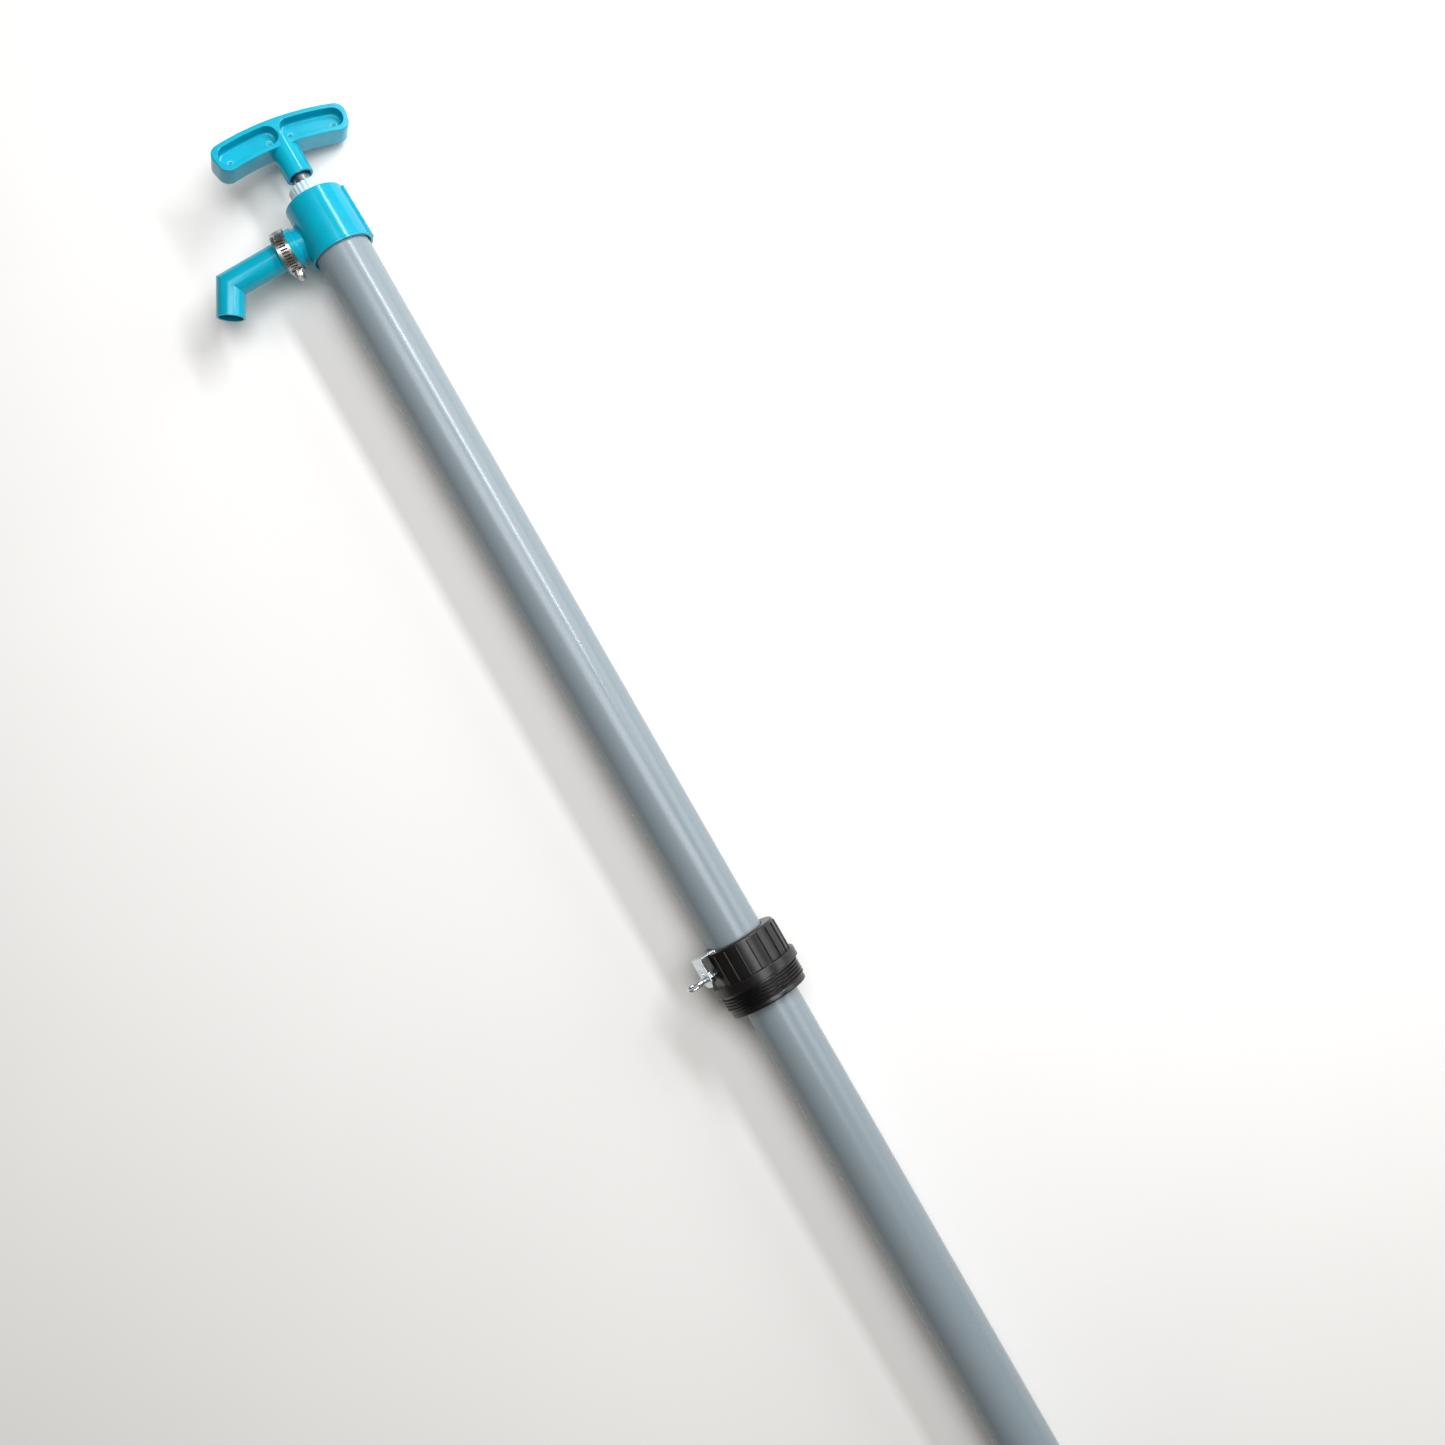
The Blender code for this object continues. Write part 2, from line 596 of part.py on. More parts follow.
def build_handle(axis, finish):
    place = at_height(SOCKET_BOTTOM) @ Matrix.Rotation(HANDLE_TURN, 4, "Z")
    middle = SOCKET_LENGTH + GRIP_HEIGHT / 2
    half_span = GRIP_SPAN / 2
    grip = [(x, z + middle) for x, z in bent_outline(-half_span, half_span, GRIP_HEIGHT / 2, GRIP_CORNER)]
    handle = piece("t_handle", slab(grip, -GRIP_DEPTH / 2, GRIP_DEPTH / 2), finish, axis, place)
    socket = rod_shape(SOCKET_RADIUS, 0, middle)
    add(handle, socket)
    pocket_half = GRIP_HEIGHT / 2 - GRIP_RIM
    floor = GRIP_DEPTH / 2 - POCKET_DEPTH
    for side in (1, -1):
        ends = sorted((side * GRIP_WEB / 2, side * (half_span - GRIP_RIM)))
        pocket = [(x, z + middle) for x, z in bent_outline(*ends, pocket_half, pocket_half * POCKET_ROUNDING)]
        cut(handle, slab(pocket, floor, GRIP_DEPTH))
        cut(handle, slab(pocket, -GRIP_DEPTH, -floor))
    bore = [
        (0, -SOCKET_LENGTH),
        (SOCKET_MOUTH_RADIUS, -SOCKET_LENGTH),
        (SOCKET_MOUTH_RADIUS, SOCKET_MOUTH_DEPTH),
        (ROD_RADIUS + GAP, SOCKET_MOUTH_DEPTH),
        (ROD_RADIUS + GAP, ROD_IN_HANDLE + GAP),
        (0, ROD_IN_HANDLE + GAP),
    ]
    cut(handle, turned(bore, SMALL_ROUND))


# --- bung adapter and its lock ---
def build_adapter(axis, plastic, rubber):
    bore = TUBE_RADIUS + ADAPTER_BORE_GAP
    thread_top = THREAD_LENGTH
    shoulder_top = thread_top + SHOULDER_HEIGHT
    groove = TUBE_RADIUS + RUN + RING_DEPTH + GAP
    profile = [(bore, 0), (LEAD_RADIUS - CAP_EDGE, 0), (LEAD_RADIUS, CAP_EDGE)]
    first = thread_top - THREAD_PITCH * (THREAD_TURNS + 0.5)
    profile.append((LEAD_RADIUS, first - THREAD_PITCH / 2))
    for turn in range(THREAD_TURNS):
        height = first + turn * THREAD_PITCH
        profile.append((THREAD_RADIUS - THREAD_DEPTH, height - THREAD_PITCH * THREAD_FOOT))
        profile.append((THREAD_RADIUS, height - THREAD_PITCH * THREAD_CREST))
        profile.append((THREAD_RADIUS, height + THREAD_PITCH * THREAD_CREST))
    root = THREAD_RADIUS - THREAD_DEPTH
    profile += [
        (root, first + THREAD_PITCH * (THREAD_TURNS - 1 + THREAD_FOOT)),
        (root, thread_top),
        (SHOULDER_RADIUS - CAP_EDGE / 2, thread_top),
        (SHOULDER_RADIUS, thread_top + CAP_EDGE / 2),
        (SHOULDER_RADIUS, shoulder_top - CAP_EDGE / 2),
        (SHOULDER_RADIUS - CAP_EDGE / 2, shoulder_top),
        (GRIP_RING_RADIUS, shoulder_top),
        (GRIP_RING_RADIUS, ADAPTER_LENGTH - BAND_HEIGHT),
        (GRIP_RING_RADIUS - BAND_HEIGHT, ADAPTER_LENGTH),
        (bore, ADAPTER_LENGTH),
        (bore, RING_PLACE + RING_HEIGHT + 2 * GAP),
        (groove, RING_PLACE + RING_HEIGHT + 2 * GAP),
        (groove, RING_PLACE),
        (bore, RING_PLACE),
    ]
    shape = turned(profile, ROUND)
    facet_down = Matrix.Rotation(math.pi / ROUND, 3, "Z")      # it lies on a facet, not on a corner
    bmesh.ops.rotate(shape, cent=(0, 0, 0), matrix=facet_down, verts=shape.verts)
    adapter = piece("bung_adapter", shape, plastic, axis, at_height(ADAPTER_BOTTOM))
    add(adapter, adapter_ribs(shoulder_top - GAP, ADAPTER_LENGTH - BAND_HEIGHT))
    strap_turn = Matrix.Rotation(STRAP_ANGLE, 4, "Z")
    wide = SHOULDER_RADIUS * 1.5
    half = FLAT_WIDTH / 2
    flat = box_shape((FLAT_RADIUS, -half, shoulder_top + GAP), (wide, half, ADAPTER_LENGTH * 1.5))
    cut(adapter, flat, strap_turn)
    half = STRAP_WIDTH / 2 + GAP
    hook_outer = bore + STRAP_THICKNESS + 2 * GAP
    hook_low = ADAPTER_LENGTH - STRAP_HOOK - GAP
    hook = box_shape((BORE, -half, hook_low), (hook_outer, half, ADAPTER_LENGTH * 1.5))
    cut(adapter, hook, strap_turn)
    lock_place = strap_turn @ at_height(LOCK_Z - ADAPTER_BOTTOM) @ ALONG_X
    pad_end = TUBE_RADIUS + GAP + PAD_THICKNESS
    cut(adapter, rod_shape(PAD_RADIUS + GAP, BORE, pad_end + PAD_TRAVEL), lock_place)
    cut(adapter, rod_shape(LOCK_RADIUS + GAP, BORE, wide), lock_place)
    ring_inner = TUBE_RADIUS + GAP
    ring_outer = ring_inner + RING_DEPTH
    side = RING_DEPTH * RING_CHAMFER
    rise = RING_HEIGHT * RING_CHAMFER
    ring = [
        (ring_inner, rise),
        (ring_inner + side, 0),
        (ring_outer - side, 0),
        (ring_outer, rise),
        (ring_outer, RING_HEIGHT - rise),
        (ring_outer - side, RING_HEIGHT),
        (ring_inner + side, RING_HEIGHT),
        (ring_inner, RING_HEIGHT - rise),
    ]
    ring_place = at_height(ADAPTER_BOTTOM + RING_PLACE + GAP)
    piece("adapter_ring", turned(ring, ROUND), rubber, axis, ring_place)


def adapter_ribs(low, high):
    """The grip ribs, left out where the strap's flat is."""
    ribs = bmesh.new()
    spare = math.atan2(FLAT_WIDTH / 2 + RIB_THICKNESS, FLAT_RADIUS)
    for number in range(RIB_COUNT):
        turn = RIB_START_ANGLE + math.tau * number / RIB_COUNT
        off = (turn - STRAP_ANGLE + math.pi) % math.tau - math.pi
        if abs(off) < spare:
            continue
        size = Vector((RIB_RADIUS - TUBE_RADIUS * 1.25, RIB_THICKNESS, high - low))
        middle = Vector((RIB_RADIUS - size.x / 2, 0, (low + high) / 2))
        made = bmesh.ops.create_cube(ribs, size=1.0)["verts"]
        bmesh.ops.scale(ribs, vec=size, verts=made)
        bmesh.ops.translate(ribs, vec=middle, verts=made)
        bmesh.ops.rotate(ribs, cent=(0, 0, 0), matrix=Matrix.Rotation(turn, 3, "Z"), verts=made)
    return ribs


def build_lock(axis, steel, pad_finish):
    place = at_height(ADAPTER_TOP + GAP) @ Matrix.Rotation(STRAP_ANGLE, 4, "Z")
    hook_inner = TUBE_RADIUS + ADAPTER_BORE_GAP + GAP
    hook_outer = hook_inner + STRAP_THICKNESS
    leg_inner = STRAP_REACH - STRAP_THICKNESS
    bend = STRAP_THICKNESS
    outline = [
        (hook_inner, -STRAP_HOOK),
        (hook_outer, -STRAP_HOOK),
        (hook_outer, 0),
        (leg_inner, 0),
        (leg_inner, -STRAP_DROP),
        (STRAP_REACH, -STRAP_DROP),
    ]
    outline += arc((STRAP_REACH - bend, 0), bend, 0, math.pi / 2, 4)
    outline += [(hook_inner, STRAP_THICKNESS)]
    strap_shape = slab(outline, -STRAP_WIDTH / 2, STRAP_WIDTH / 2)
    corners = [edge for edge in strap_shape.edges if is_leg_corner(edge, leg_inner)]
    bmesh.ops.bevel(
        strap_shape, geom=corners, offset=STRAP_CORNER, segments=3, profile=0.5, affect="EDGES", material=-1
    )
    strap = piece("clamp_strap", strap_shape, steel, axis, place)
    lock_turn = at_height(LOCK_Z - ADAPTER_TOP - GAP) @ ALONG_X
    cut(strap, rod_shape(LOCK_RADIUS + GAP, leg_inner - STRAP_THICKNESS, STRAP_REACH * 1.5), lock_turn)

    lock_place = at_height(LOCK_Z) @ Matrix.Rotation(STRAP_ANGLE, 4, "Z") @ ALONG_X
    nut_high = leg_inner - GAP
    nut = hexagon(LOCK_NUT_FLATS, nut_high - LOCK_NUT_LENGTH, nut_high, LOCK_RADIUS + GAP)
    piece("strap_nut", nut, steel, axis, lock_place)
    pad_low = TUBE_RADIUS + GAP
    pad = rod_shape(PAD_RADIUS, pad_low, pad_low + PAD_THICKNESS)
    piece("pressure_pad", pad, pad_finish, axis, lock_place)
    screw_low = pad_low + PAD_THICKNESS + GAP
    screw = piece("lock_screw", rod_shape(LOCK_RADIUS, screw_low, LOCK_SHANK_END), steel, axis, lock_place)
    half_width = LOCK_HEAD_WIDTH / 2
    half_thickness = LOCK_HEAD_THICKNESS / 2
    low = (-half_width, -half_thickness, LOCK_SHANK_END - half_thickness)
    high = (half_width, half_thickness, LOCK_END)
    head = box_shape(low, high)
    corners = [edge for edge in head.edges if abs(edge.verts[0].co.y - edge.verts[1].co.y) > half_thickness]
    rounding = half_width * LOCK_HEAD_ROUNDING
    bmesh.ops.bevel(head, geom=corners, offset=rounding, segments=4, profile=0.5, affect="EDGES", material=-1)
    head_turn = Matrix.Rotation(LOCK_HEAD_TURN, 4, "Z")
    add(screw, head, head_turn)
    eye_place = head_turn @ at_height((LOCK_SHANK_END + LOCK_END) / 2) @ ALONG_Y
    cut(screw, rod_shape(LOCK_EYE_RADIUS, -half_width, half_width), eye_place)


def is_leg_corner(edge, leg_inner):
    """The two corners at the free end of the strap's long leg."""
    low_end = all(abs(vert.co.z + STRAP_DROP) < GAP for vert in edge.verts)
    across = abs(edge.verts[0].co.y - edge.verts[1].co.y) < GAP
    return low_end and across and min(vert.co.x for vert in edge.verts) > leg_inner - GAP


# --- spout and its clamp ---
# In the spout's frame z runs out along the outlet, x towards the foot and y up.
SPOUT_TURN = Matrix(((0, 0, 1, 0), (0, 1, 0, 0), (-1, 0, 0, 0), (0, 0, 0, 1)))


def bend_spout(vert):
    """Mitre the straight pipe at its elbow and swing the tip towards x."""
    past = vert.co.z - SPOUT_REACH
    if abs(past) < 1e-6:
        vert.co.z -= math.tan(SPOUT_BEND / 2) * vert.co.x
    elif past > 0:
        elbow = Vector((0, 0, SPOUT_REACH))
        vert.co = elbow + Matrix.Rotation(SPOUT_BEND, 3, "Y") @ (vert.co - elbow)


def build_spout(axis, finish):
    place = at_height(OUTLET_Z) @ SPOUT_TURN
    cup_inner = NOZZLE_RADIUS + GAP
    cup_outer = cup_inner + CUP_WALL
    cup_start = COLLAR_END + GAP
    cup_end = cup_start + CUP_LENGTH
    mouth = SPOUT_REACH + SPOUT_LEG
    floor = COLLAR_END + NOZZLE_LENGTH + GAP
    profile = [
        (cup_inner, cup_start),
        (cup_outer, cup_start),
        (cup_outer, cup_end - CAP_EDGE),
        (cup_outer - CAP_EDGE, cup_end),
        (SPOUT_RADIUS, cup_end),
        ((SPOUT_RADIUS + SPOUT_TIP_RADIUS) / 2, SPOUT_REACH),
        (SPOUT_TIP_RADIUS, mouth),
        (SPOUT_TIP_RADIUS - SPOUT_WALL, mouth),
        ((SPOUT_RADIUS + SPOUT_TIP_RADIUS) / 2 - SPOUT_WALL, SPOUT_REACH),
        (SPOUT_RADIUS - SPOUT_WALL, floor),
        (cup_inner, floor),
    ]
    shape = turned(profile, ROUND)
    for vert in shape.verts:
        bend_spout(vert)
    spout = piece("spout", shape, finish, axis, place)
    half = CUP_SLOT / 2
    wide = cup_outer * 1.5
    slot_end = floor - CAP_EDGE
    slot_start = cup_start - CUP_LENGTH
    cut(spout, box_shape((-wide, -half, slot_start), (wide, half, slot_end)))
    cut(spout, box_shape((-half, -wide, slot_start), (half, wide, slot_end)))


def build_clamp(axis, steel):
    place = at_height(OUTLET_Z) @ SPOUT_TURN
    band_low = COLLAR_END - GAP
    band_high = band_low + BAND_WIDTH
    band = ring_shape(BAND_INNER, BAND_OUTER, band_low, band_high, ROUND)
    piece("clamp_band", band, steel, axis, place)
    middle = (band_low + band_high) / 2
    worm_place = place @ Matrix.Translation((WORM_AXIS, 0, middle)) @ ALONG_Y
    half_length = HOUSING_LENGTH / 2
    half_width = HOUSING_WIDTH / 2
    half_height = WORM_RADIUS + HOUSING_WALL
    housing_shape = box_shape((-half_height, -half_width, -half_length), (half_height, half_width, half_length))
    housing = piece("clamp_housing", housing_shape, steel, axis, worm_place)
    cut(housing, rod_shape(WORM_RADIUS + GAP, -HOUSING_LENGTH, HOUSING_LENGTH), Matrix.Identity(4))
    worm = [
        (0, -half_length - GAP),
        (WORM_RADIUS, -half_length - GAP),
        (WORM_RADIUS, half_length + GAP),
        (WORM_HEAD_RADIUS, half_length + GAP),
        (WORM_HEAD_RADIUS, half_length + GAP + WORM_HEAD_LENGTH),
        (0, half_length + GAP + WORM_HEAD_LENGTH),
    ]
    screw = piece("clamp_worm", turned(worm, SMALL_ROUND), steel, axis, worm_place)
    half = WORM_SLOT / 2
    wide = WORM_HEAD_RADIUS * 2
    top = half_length + GAP + WORM_HEAD_LENGTH
    cut(screw, box_shape((-half, -wide, top - WORM_SLOT), (half, wide, top * 2)))


# --- the whole pump ---
def stand_on_floor(axis):
    """Put the origin under the middle of everything that shows."""
    bpy.context.view_layer.update()
    scene = bpy.context.evaluated_depsgraph_get()
    corners = []
    for item in bpy.data.objects:
        if item.type == "MESH" and not item.hide_render:
            made = item.evaluated_get(scene)
            corners += [made.matrix_world @ vert.co for vert in made.data.vertices]
    low = Vector([min(corner[side] for corner in corners) for side in range(3)])
    high = Vector([max(corner[side] for corner in corners) for side in range(3)])
    axis.location -= Vector(((low.x + high.x) / 2, (low.y + high.y) / 2, low.z))


def build():
    clear_scene()
    lay_down = Matrix(((0, 0, 1, 0), (1, 0, 0, 0), (0, 1, 0, 0), (0, 0, 0, 1)))
    axis = empty("pump_axis", None, lay_down)

    grey = material("grey_tube", (0.42, 0.46, 0.48), 0.35)
    teal = material("teal_plastic", (0.0, 0.45, 0.60), 0.35)
    white = material("white_plastic", (0.80, 0.86, 0.88), 0.30)
    black = material("black_plastic", (0.02, 0.02, 0.022), 0.38)
    rubber = material("black_rubber", (0.02, 0.02, 0.02), 0.80)
    zinc = material("zinc_plate", (0.75, 0.77, 0.80), 0.30, 1.0)
    stainless = material("stainless_steel", (0.62, 0.61, 0.59), 0.28, 1.0)
    rod_metal = material("rod_aluminium", (0.50, 0.52, 0.55), 0.35, 1.0)

    build_tube(axis, grey)
    build_top_cap(axis, teal)
    build_gland(axis, white, rubber, stainless)
    build_foot(axis, black, white, rubber, stainless)
    build_piston(axis, white, rubber, rubber)
    build_plunger(axis, rod_metal, stainless, teal)
    build_adapter(axis, black, rubber)
    build_lock(axis, zinc, black)
    build_spout(axis, teal)
    build_clamp(axis, stainless)
    stand_on_floor(axis)


build()
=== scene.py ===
"""Hand lift pump for drums, lying on a pale floor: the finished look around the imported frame.

Every piece is modelled on the pump's own axis, foot at z = 0 and handle up:
local x is the way the outlet points and local y is the side that faces up when
the pump lies down.  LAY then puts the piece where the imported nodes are.
All sizes are in metres.
"""

import json
import math

import bmesh
import bpy
from mathutils import Matrix, Vector

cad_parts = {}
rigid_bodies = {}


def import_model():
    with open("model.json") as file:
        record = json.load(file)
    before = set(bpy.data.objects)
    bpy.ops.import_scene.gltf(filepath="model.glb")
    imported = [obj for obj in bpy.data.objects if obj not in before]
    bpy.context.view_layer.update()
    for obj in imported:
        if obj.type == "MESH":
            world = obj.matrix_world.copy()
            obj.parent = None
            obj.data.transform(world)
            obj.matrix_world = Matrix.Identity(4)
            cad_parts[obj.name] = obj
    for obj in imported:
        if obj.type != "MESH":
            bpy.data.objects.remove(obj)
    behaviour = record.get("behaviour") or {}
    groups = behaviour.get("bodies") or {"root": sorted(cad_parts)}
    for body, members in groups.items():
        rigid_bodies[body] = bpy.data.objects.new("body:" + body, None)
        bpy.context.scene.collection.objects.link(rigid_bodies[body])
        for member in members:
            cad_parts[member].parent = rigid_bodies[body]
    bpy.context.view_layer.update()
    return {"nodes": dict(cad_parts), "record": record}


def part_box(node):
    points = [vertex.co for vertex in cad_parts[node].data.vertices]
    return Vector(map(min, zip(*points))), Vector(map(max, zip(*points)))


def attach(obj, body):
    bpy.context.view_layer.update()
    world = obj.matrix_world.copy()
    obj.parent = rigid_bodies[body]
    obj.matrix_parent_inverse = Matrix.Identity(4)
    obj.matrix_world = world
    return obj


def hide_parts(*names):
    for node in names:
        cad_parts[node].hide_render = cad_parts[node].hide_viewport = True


for item in list(bpy.data.objects):
    bpy.data.objects.remove(item)
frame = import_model()

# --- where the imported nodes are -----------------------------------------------
FOOT_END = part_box("foot_body")[0].x
TUBE_LOW, TUBE_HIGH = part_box("tube")
AXIS_Y = (TUBE_LOW.y + TUBE_HIGH.y) / 2
AXIS_Z = (TUBE_LOW.z + TUBE_HIGH.z) / 2
LAY = Matrix(((0, 0, 1, FOOT_END), (1, 0, 0, AXIS_Y), (0, 1, 0, AXIS_Z), (0, 0, 0, 1)))


def heights(node):
    """The lowest and highest point of a node along the pump's axis."""
    low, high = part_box(node)
    return low.x - FOOT_END, high.x - FOOT_END


TUBE_BOTTOM, TUBE_TOP = heights("tube")
CAP_BOTTOM, CAP_TOP = heights("top_cap")
OUTLET_Z = sum(heights("clamp_band")) / 2
ADAPTER_BOTTOM, ADAPTER_TOP = heights("bung_adapter")
LOCK_Z = sum(heights("strap_nut")) / 2
SOCKET_BOTTOM = heights("t_handle")[0]
ROD_BOTTOM, ROD_TOP = heights("pump_rod")
FOOT_TOP = heights("foot_body")[1]
BALL_Z = sum(heights("foot_ball")) / 2

# --- clearances and fineness --------------------------------------------------
GAP = 0.0003
RUN = 0.0006
FINE = 128                  # facets round the tube and what fits on it
THREAD_FINE = 160           # facets round the adapter
SMALL_FINE = 64             # facets round rods and the spout's fittings
SCREW_FINE = 48             # facets round the lock screw and the worm
FILLET_STEP = math.radians(18)
HAIR = 0.0002               # fillet on sheet metal
CRISP = 0.0003
EDGE = 0.0004               # the usual fillet on a moulded or turned edge
SOFT = 0.0005
BLUNT = 0.0006
BIG = 0.1                   # longer than any piece a cutter goes through

# --- tube and cap -------------------------------------------------------------
TUBE_RADIUS = 0.020
TUBE_WALL = 0.002
BORE = TUBE_RADIUS - TUBE_WALL
PORT_RADIUS = 0.0078
TUBE_EDGE = 0.0004
CAP_HEIGHT = CAP_TOP - CAP_BOTTOM
CAP_INNER = TUBE_RADIUS + GAP
CAP_RADIUS = CAP_INNER + 0.0023
CAP_TOP_RADIUS = CAP_INNER + 0.0015
CAP_LIP = 0.0006
CAP_LIP_HEIGHT = 0.0014
CAP_TOP_THICKNESS = 0.004
CAP_LEAD_IN = 0.0011
CAP_EDGE = 0.0010
NOZZLE_RADIUS = 0.0120
NECK_RADIUS = NOZZLE_RADIUS + 0.0002
COLLAR_RADIUS = NOZZLE_RADIUS + 0.0018
COLLAR_START = CAP_RADIUS + 0.0020
COLLAR_END = COLLAR_START + 0.0049
NOZZLE_LENGTH = 0.0078
RIB_WIDTH = 0.0080
RIB_PROUD = 0.0016
RIB_MARGIN = 0.0020
BOSS_RADIUS = 0.0130
BOSS_DEPTH = 0.0160
BOSS_FLOOR = 0.0030
GLAND_RADIUS = 0.0096

# --- gland nut, rod and T-handle ----------------------------------------------
NUT_RADIUS = 0.01325
NUT_HEIGHT = 0.0107
NUT_SERRATIONS = 24
NUT_SERRATION_DEPTH = 0.0007
NUT_FLUTE_REACH = 0.0010    # how far in from the wall the flutes still draw
NUT_FLUTE_SLOPE = 1.6       # steepness of a flute's flanks
NUT_FLUTE_BIAS = 0.1
NUT_BAND = 0.0008           # plain band under the flutes
NUT_EDGE = 0.0009
NUT_LEAD_IN = 0.0012
ROD_RADIUS = 0.0060
ROD_END_RADIUS = 0.0040
ROD_IN_HANDLE = 0.0225
ROD_THIN_END = 0.0302       # what holds the piston
ROD_STEP = ROD_BOTTOM + ROD_THIN_END
SOCKET_RADIUS = 0.0100
SOCKET_LENGTH = 0.0210
SOCKET_MOUTH_RADIUS = 0.0079
SOCKET_MOUTH_DEPTH = 0.0040
GRIP_SPAN = 0.1004
GRIP_HEIGHT = 0.0208
GRIP_DEPTH = 0.0190
GRIP_BEND_RADIUS = 0.2080
ARCH_STEP = 0.003           # length of one facet along the arch
GRIP_CORNER = 0.0078
GRIP_RIM = 0.0034
GRIP_WEB = 0.0030
GRIP_EDGE = 0.0011
POCKET_DEPTH = 0.0080
POCKET_FLARE = 0.0004
POCKET_DRAFT = 0.0003
POCKET_FILLET = 0.0018
POCKET_ROUNDING = 0.97
FLARE_STEPS = 3
FLOOR_STEPS = 5
EJECTOR_RADIUS = 0.0024
EJECTOR_PROUD = 0.0005
EJECTOR_INSET = 0.0068
EJECTOR_DROP = 0.0026
EJECTOR_EDGE = 0.0001
EJECTOR_RIM = 0.80          # inner edge of the raised rim, as a share of the mark's radius
EJECTOR_DISH = 0.72         # and where it meets the pocket's floor
HANDLE_TURN = math.radians(20.0)

# --- bung adapter -------------------------------------------------------------
ADAPTER_LENGTH = ADAPTER_TOP - ADAPTER_BOTTOM
ADAPTER_BORE = TUBE_RADIUS + RUN
THREAD_RADIUS = 0.0298
THREAD_DEPTH = 0.00148
THREAD_PITCH = 0.002309
THREAD_TURNS = 5
THREAD_LENGTH = 0.0170
THREAD_CREST = 0.07         # half the crest's width, in pitches
THREAD_FOOT = 0.43          # half the ridge's width at its root, in pitches
THREAD_ROWS = 12            # rows of facets in one pitch
THREAD_FADE = 0.20          # part of a turn over which the ridge rises
THREAD_SKIN = 0.0001        # what counts as the wall that a thread is cut in
LEAD_RADIUS = THREAD_RADIUS - 0.0010
SHOULDER_RADIUS = AXIS_Z    # the adapter rests on the floor here
SHOULDER_HEIGHT = 0.0070
SHOULDER_TOP = THREAD_LENGTH + SHOULDER_HEIGHT
GRIP_RING_RADIUS = THREAD_RADIUS - 0.0012
GRIP_RING_EDGE = 0.0014
GRIP_BAND = 0.0020
GRIP_RIB_COUNT = 20
GRIP_RIB_PROUD = 0.0009
GRIP_RIB_THICKNESS = 0.0014
GRIP_RIB_DEPTH = 0.0050     # a rib starts this far out from the tube, inside the ring
GRIP_RIB_ROUNDING = 0.8     # of half its thickness
GRIP_RIB_START = math.radians(14.5)
RING_PLACE = 0.0080
RING_HEIGHT = 0.0026
RING_DEPTH = 0.0020

# --- strap, nut, lock screw and pad -------------------------------------------
STRAP_ANGLE = math.radians(24.0)
STRAP_WIDTH = 0.0160
STRAP_THICKNESS = 0.0012
FLAT_RADIUS = GRIP_RING_RADIUS - 0.0010
FLAT_WIDTH = 0.0215
STRAP_REACH = FLAT_RADIUS + 0.0069
STRAP_DROP = 0.0208
STRAP_HOOK = 0.0080
STRAP_CORNER = 0.0050
STRAP_BEND = 0.0010         # inside the upper bend
STRAP_HOOK_BEND = 0.0011
STRAP_HOLE_RADIUS = 0.0012
STRAP_HOLE_OFFSET = 0.0044
LOCK_RADIUS = 0.0024
LOCK_THREAD_PITCH = 0.0008
LOCK_THREAD_DEPTH = 0.0004
LOCK_THREAD_PAST = 0.0040   # thread beyond the strap
LOCK_NUT_FLATS = 0.0080
LOCK_NUT_LENGTH = 0.0040
LOCK_SHANK_END = STRAP_REACH + 0.0075
LOCK_END = STRAP_REACH + 0.0155
LOCK_HEAD_WIDTH = 0.0100
LOCK_WIRE_RADIUS = 0.0011
LOCK_HEAD_TURN = math.radians(76.0)
PAD_RADIUS = 0.0040
PAD_THICKNESS = 0.0030
PAD_TRAVEL = 0.0022

# --- foot ---------------------------------------------------------------------
FOOT_RADIUS = CAP_INNER + 0.0022
FOOT_SKIRT_RADIUS = FOOT_RADIUS - 0.0045
FOOT_SKIRT = 0.0080
FOOT_FLOOR_TOP = FOOT_SKIRT + 0.0060
FOOT_SLOT_WIDTH = 0.0080
FOOT_SKIRT_FILLET = 0.0008
FOOT_SLOT_HEIGHT = 0.0060
FOOT_SLOT_ROUNDING = 0.0015
NEARLY = 0.9                # of the longest edge: what still counts as long
SEAT_RADIUS = 0.0090
SEAT_CHAMFER = 0.0020
BALL_RADIUS = 0.0110

# --- spout and its clamp ------------------------------------------------------
CUP_WALL = 0.0020
CUP_LENGTH = 0.0098
CUP_EDGE = 0.0009
CUP_FILLET = 0.0008
CUP_SLOT = 0.0016
SPOUT_RADIUS = 0.0102
SPOUT_TIP_RADIUS = 0.0099
SPOUT_WALL = 0.0014
SPOUT_REACH = COLLAR_END + 0.0499
SPOUT_LEG = 0.0230
SPOUT_BEND = math.radians(60.0)
SPOUT_LIP = 0.0003
BAND_WIDTH = 0.0092
BAND_MIDDLE = COLLAR_END - GAP + BAND_WIDTH / 2
BAND_INNER = 0.0146
BAND_OUTER = 0.0154
BAND_THICKNESS = 0.0005     # of the slotted outer band
BAND_SLOTS = 43
BAND_SLOT_WIDTH = 0.0011
BAND_SLOT_LENGTH = 0.0048
BAND_SLANT = 0.14
TAIL_SLOTS = 9
TAIL_START = math.radians(105.0)
TAIL_PLAIN = 2              # slots left out at the free end
TAIL_PROUD = 0.0007
SLOT_ROUNDING = 0.3         # of the slot's width
TAIL_ROUNDING = 0.95        # of the land beside the last slot
LINER_GAP = 0.00002
BAND_SOFTENING = 0.00008
HOUSING_LENGTH = 0.0090
HOUSING_WIDTH = 0.0082
HOUSING_WALL = 0.0006
HOUSING_ROOM = 0.0008       # outside of the arch beyond the worm's crest
ARCH_FACETS = 20
WORM_RADIUS = 0.0019
WORM_AXIS = 0.0184
WORM_PITCH = 0.0014
WORM_DEPTH = 0.0004
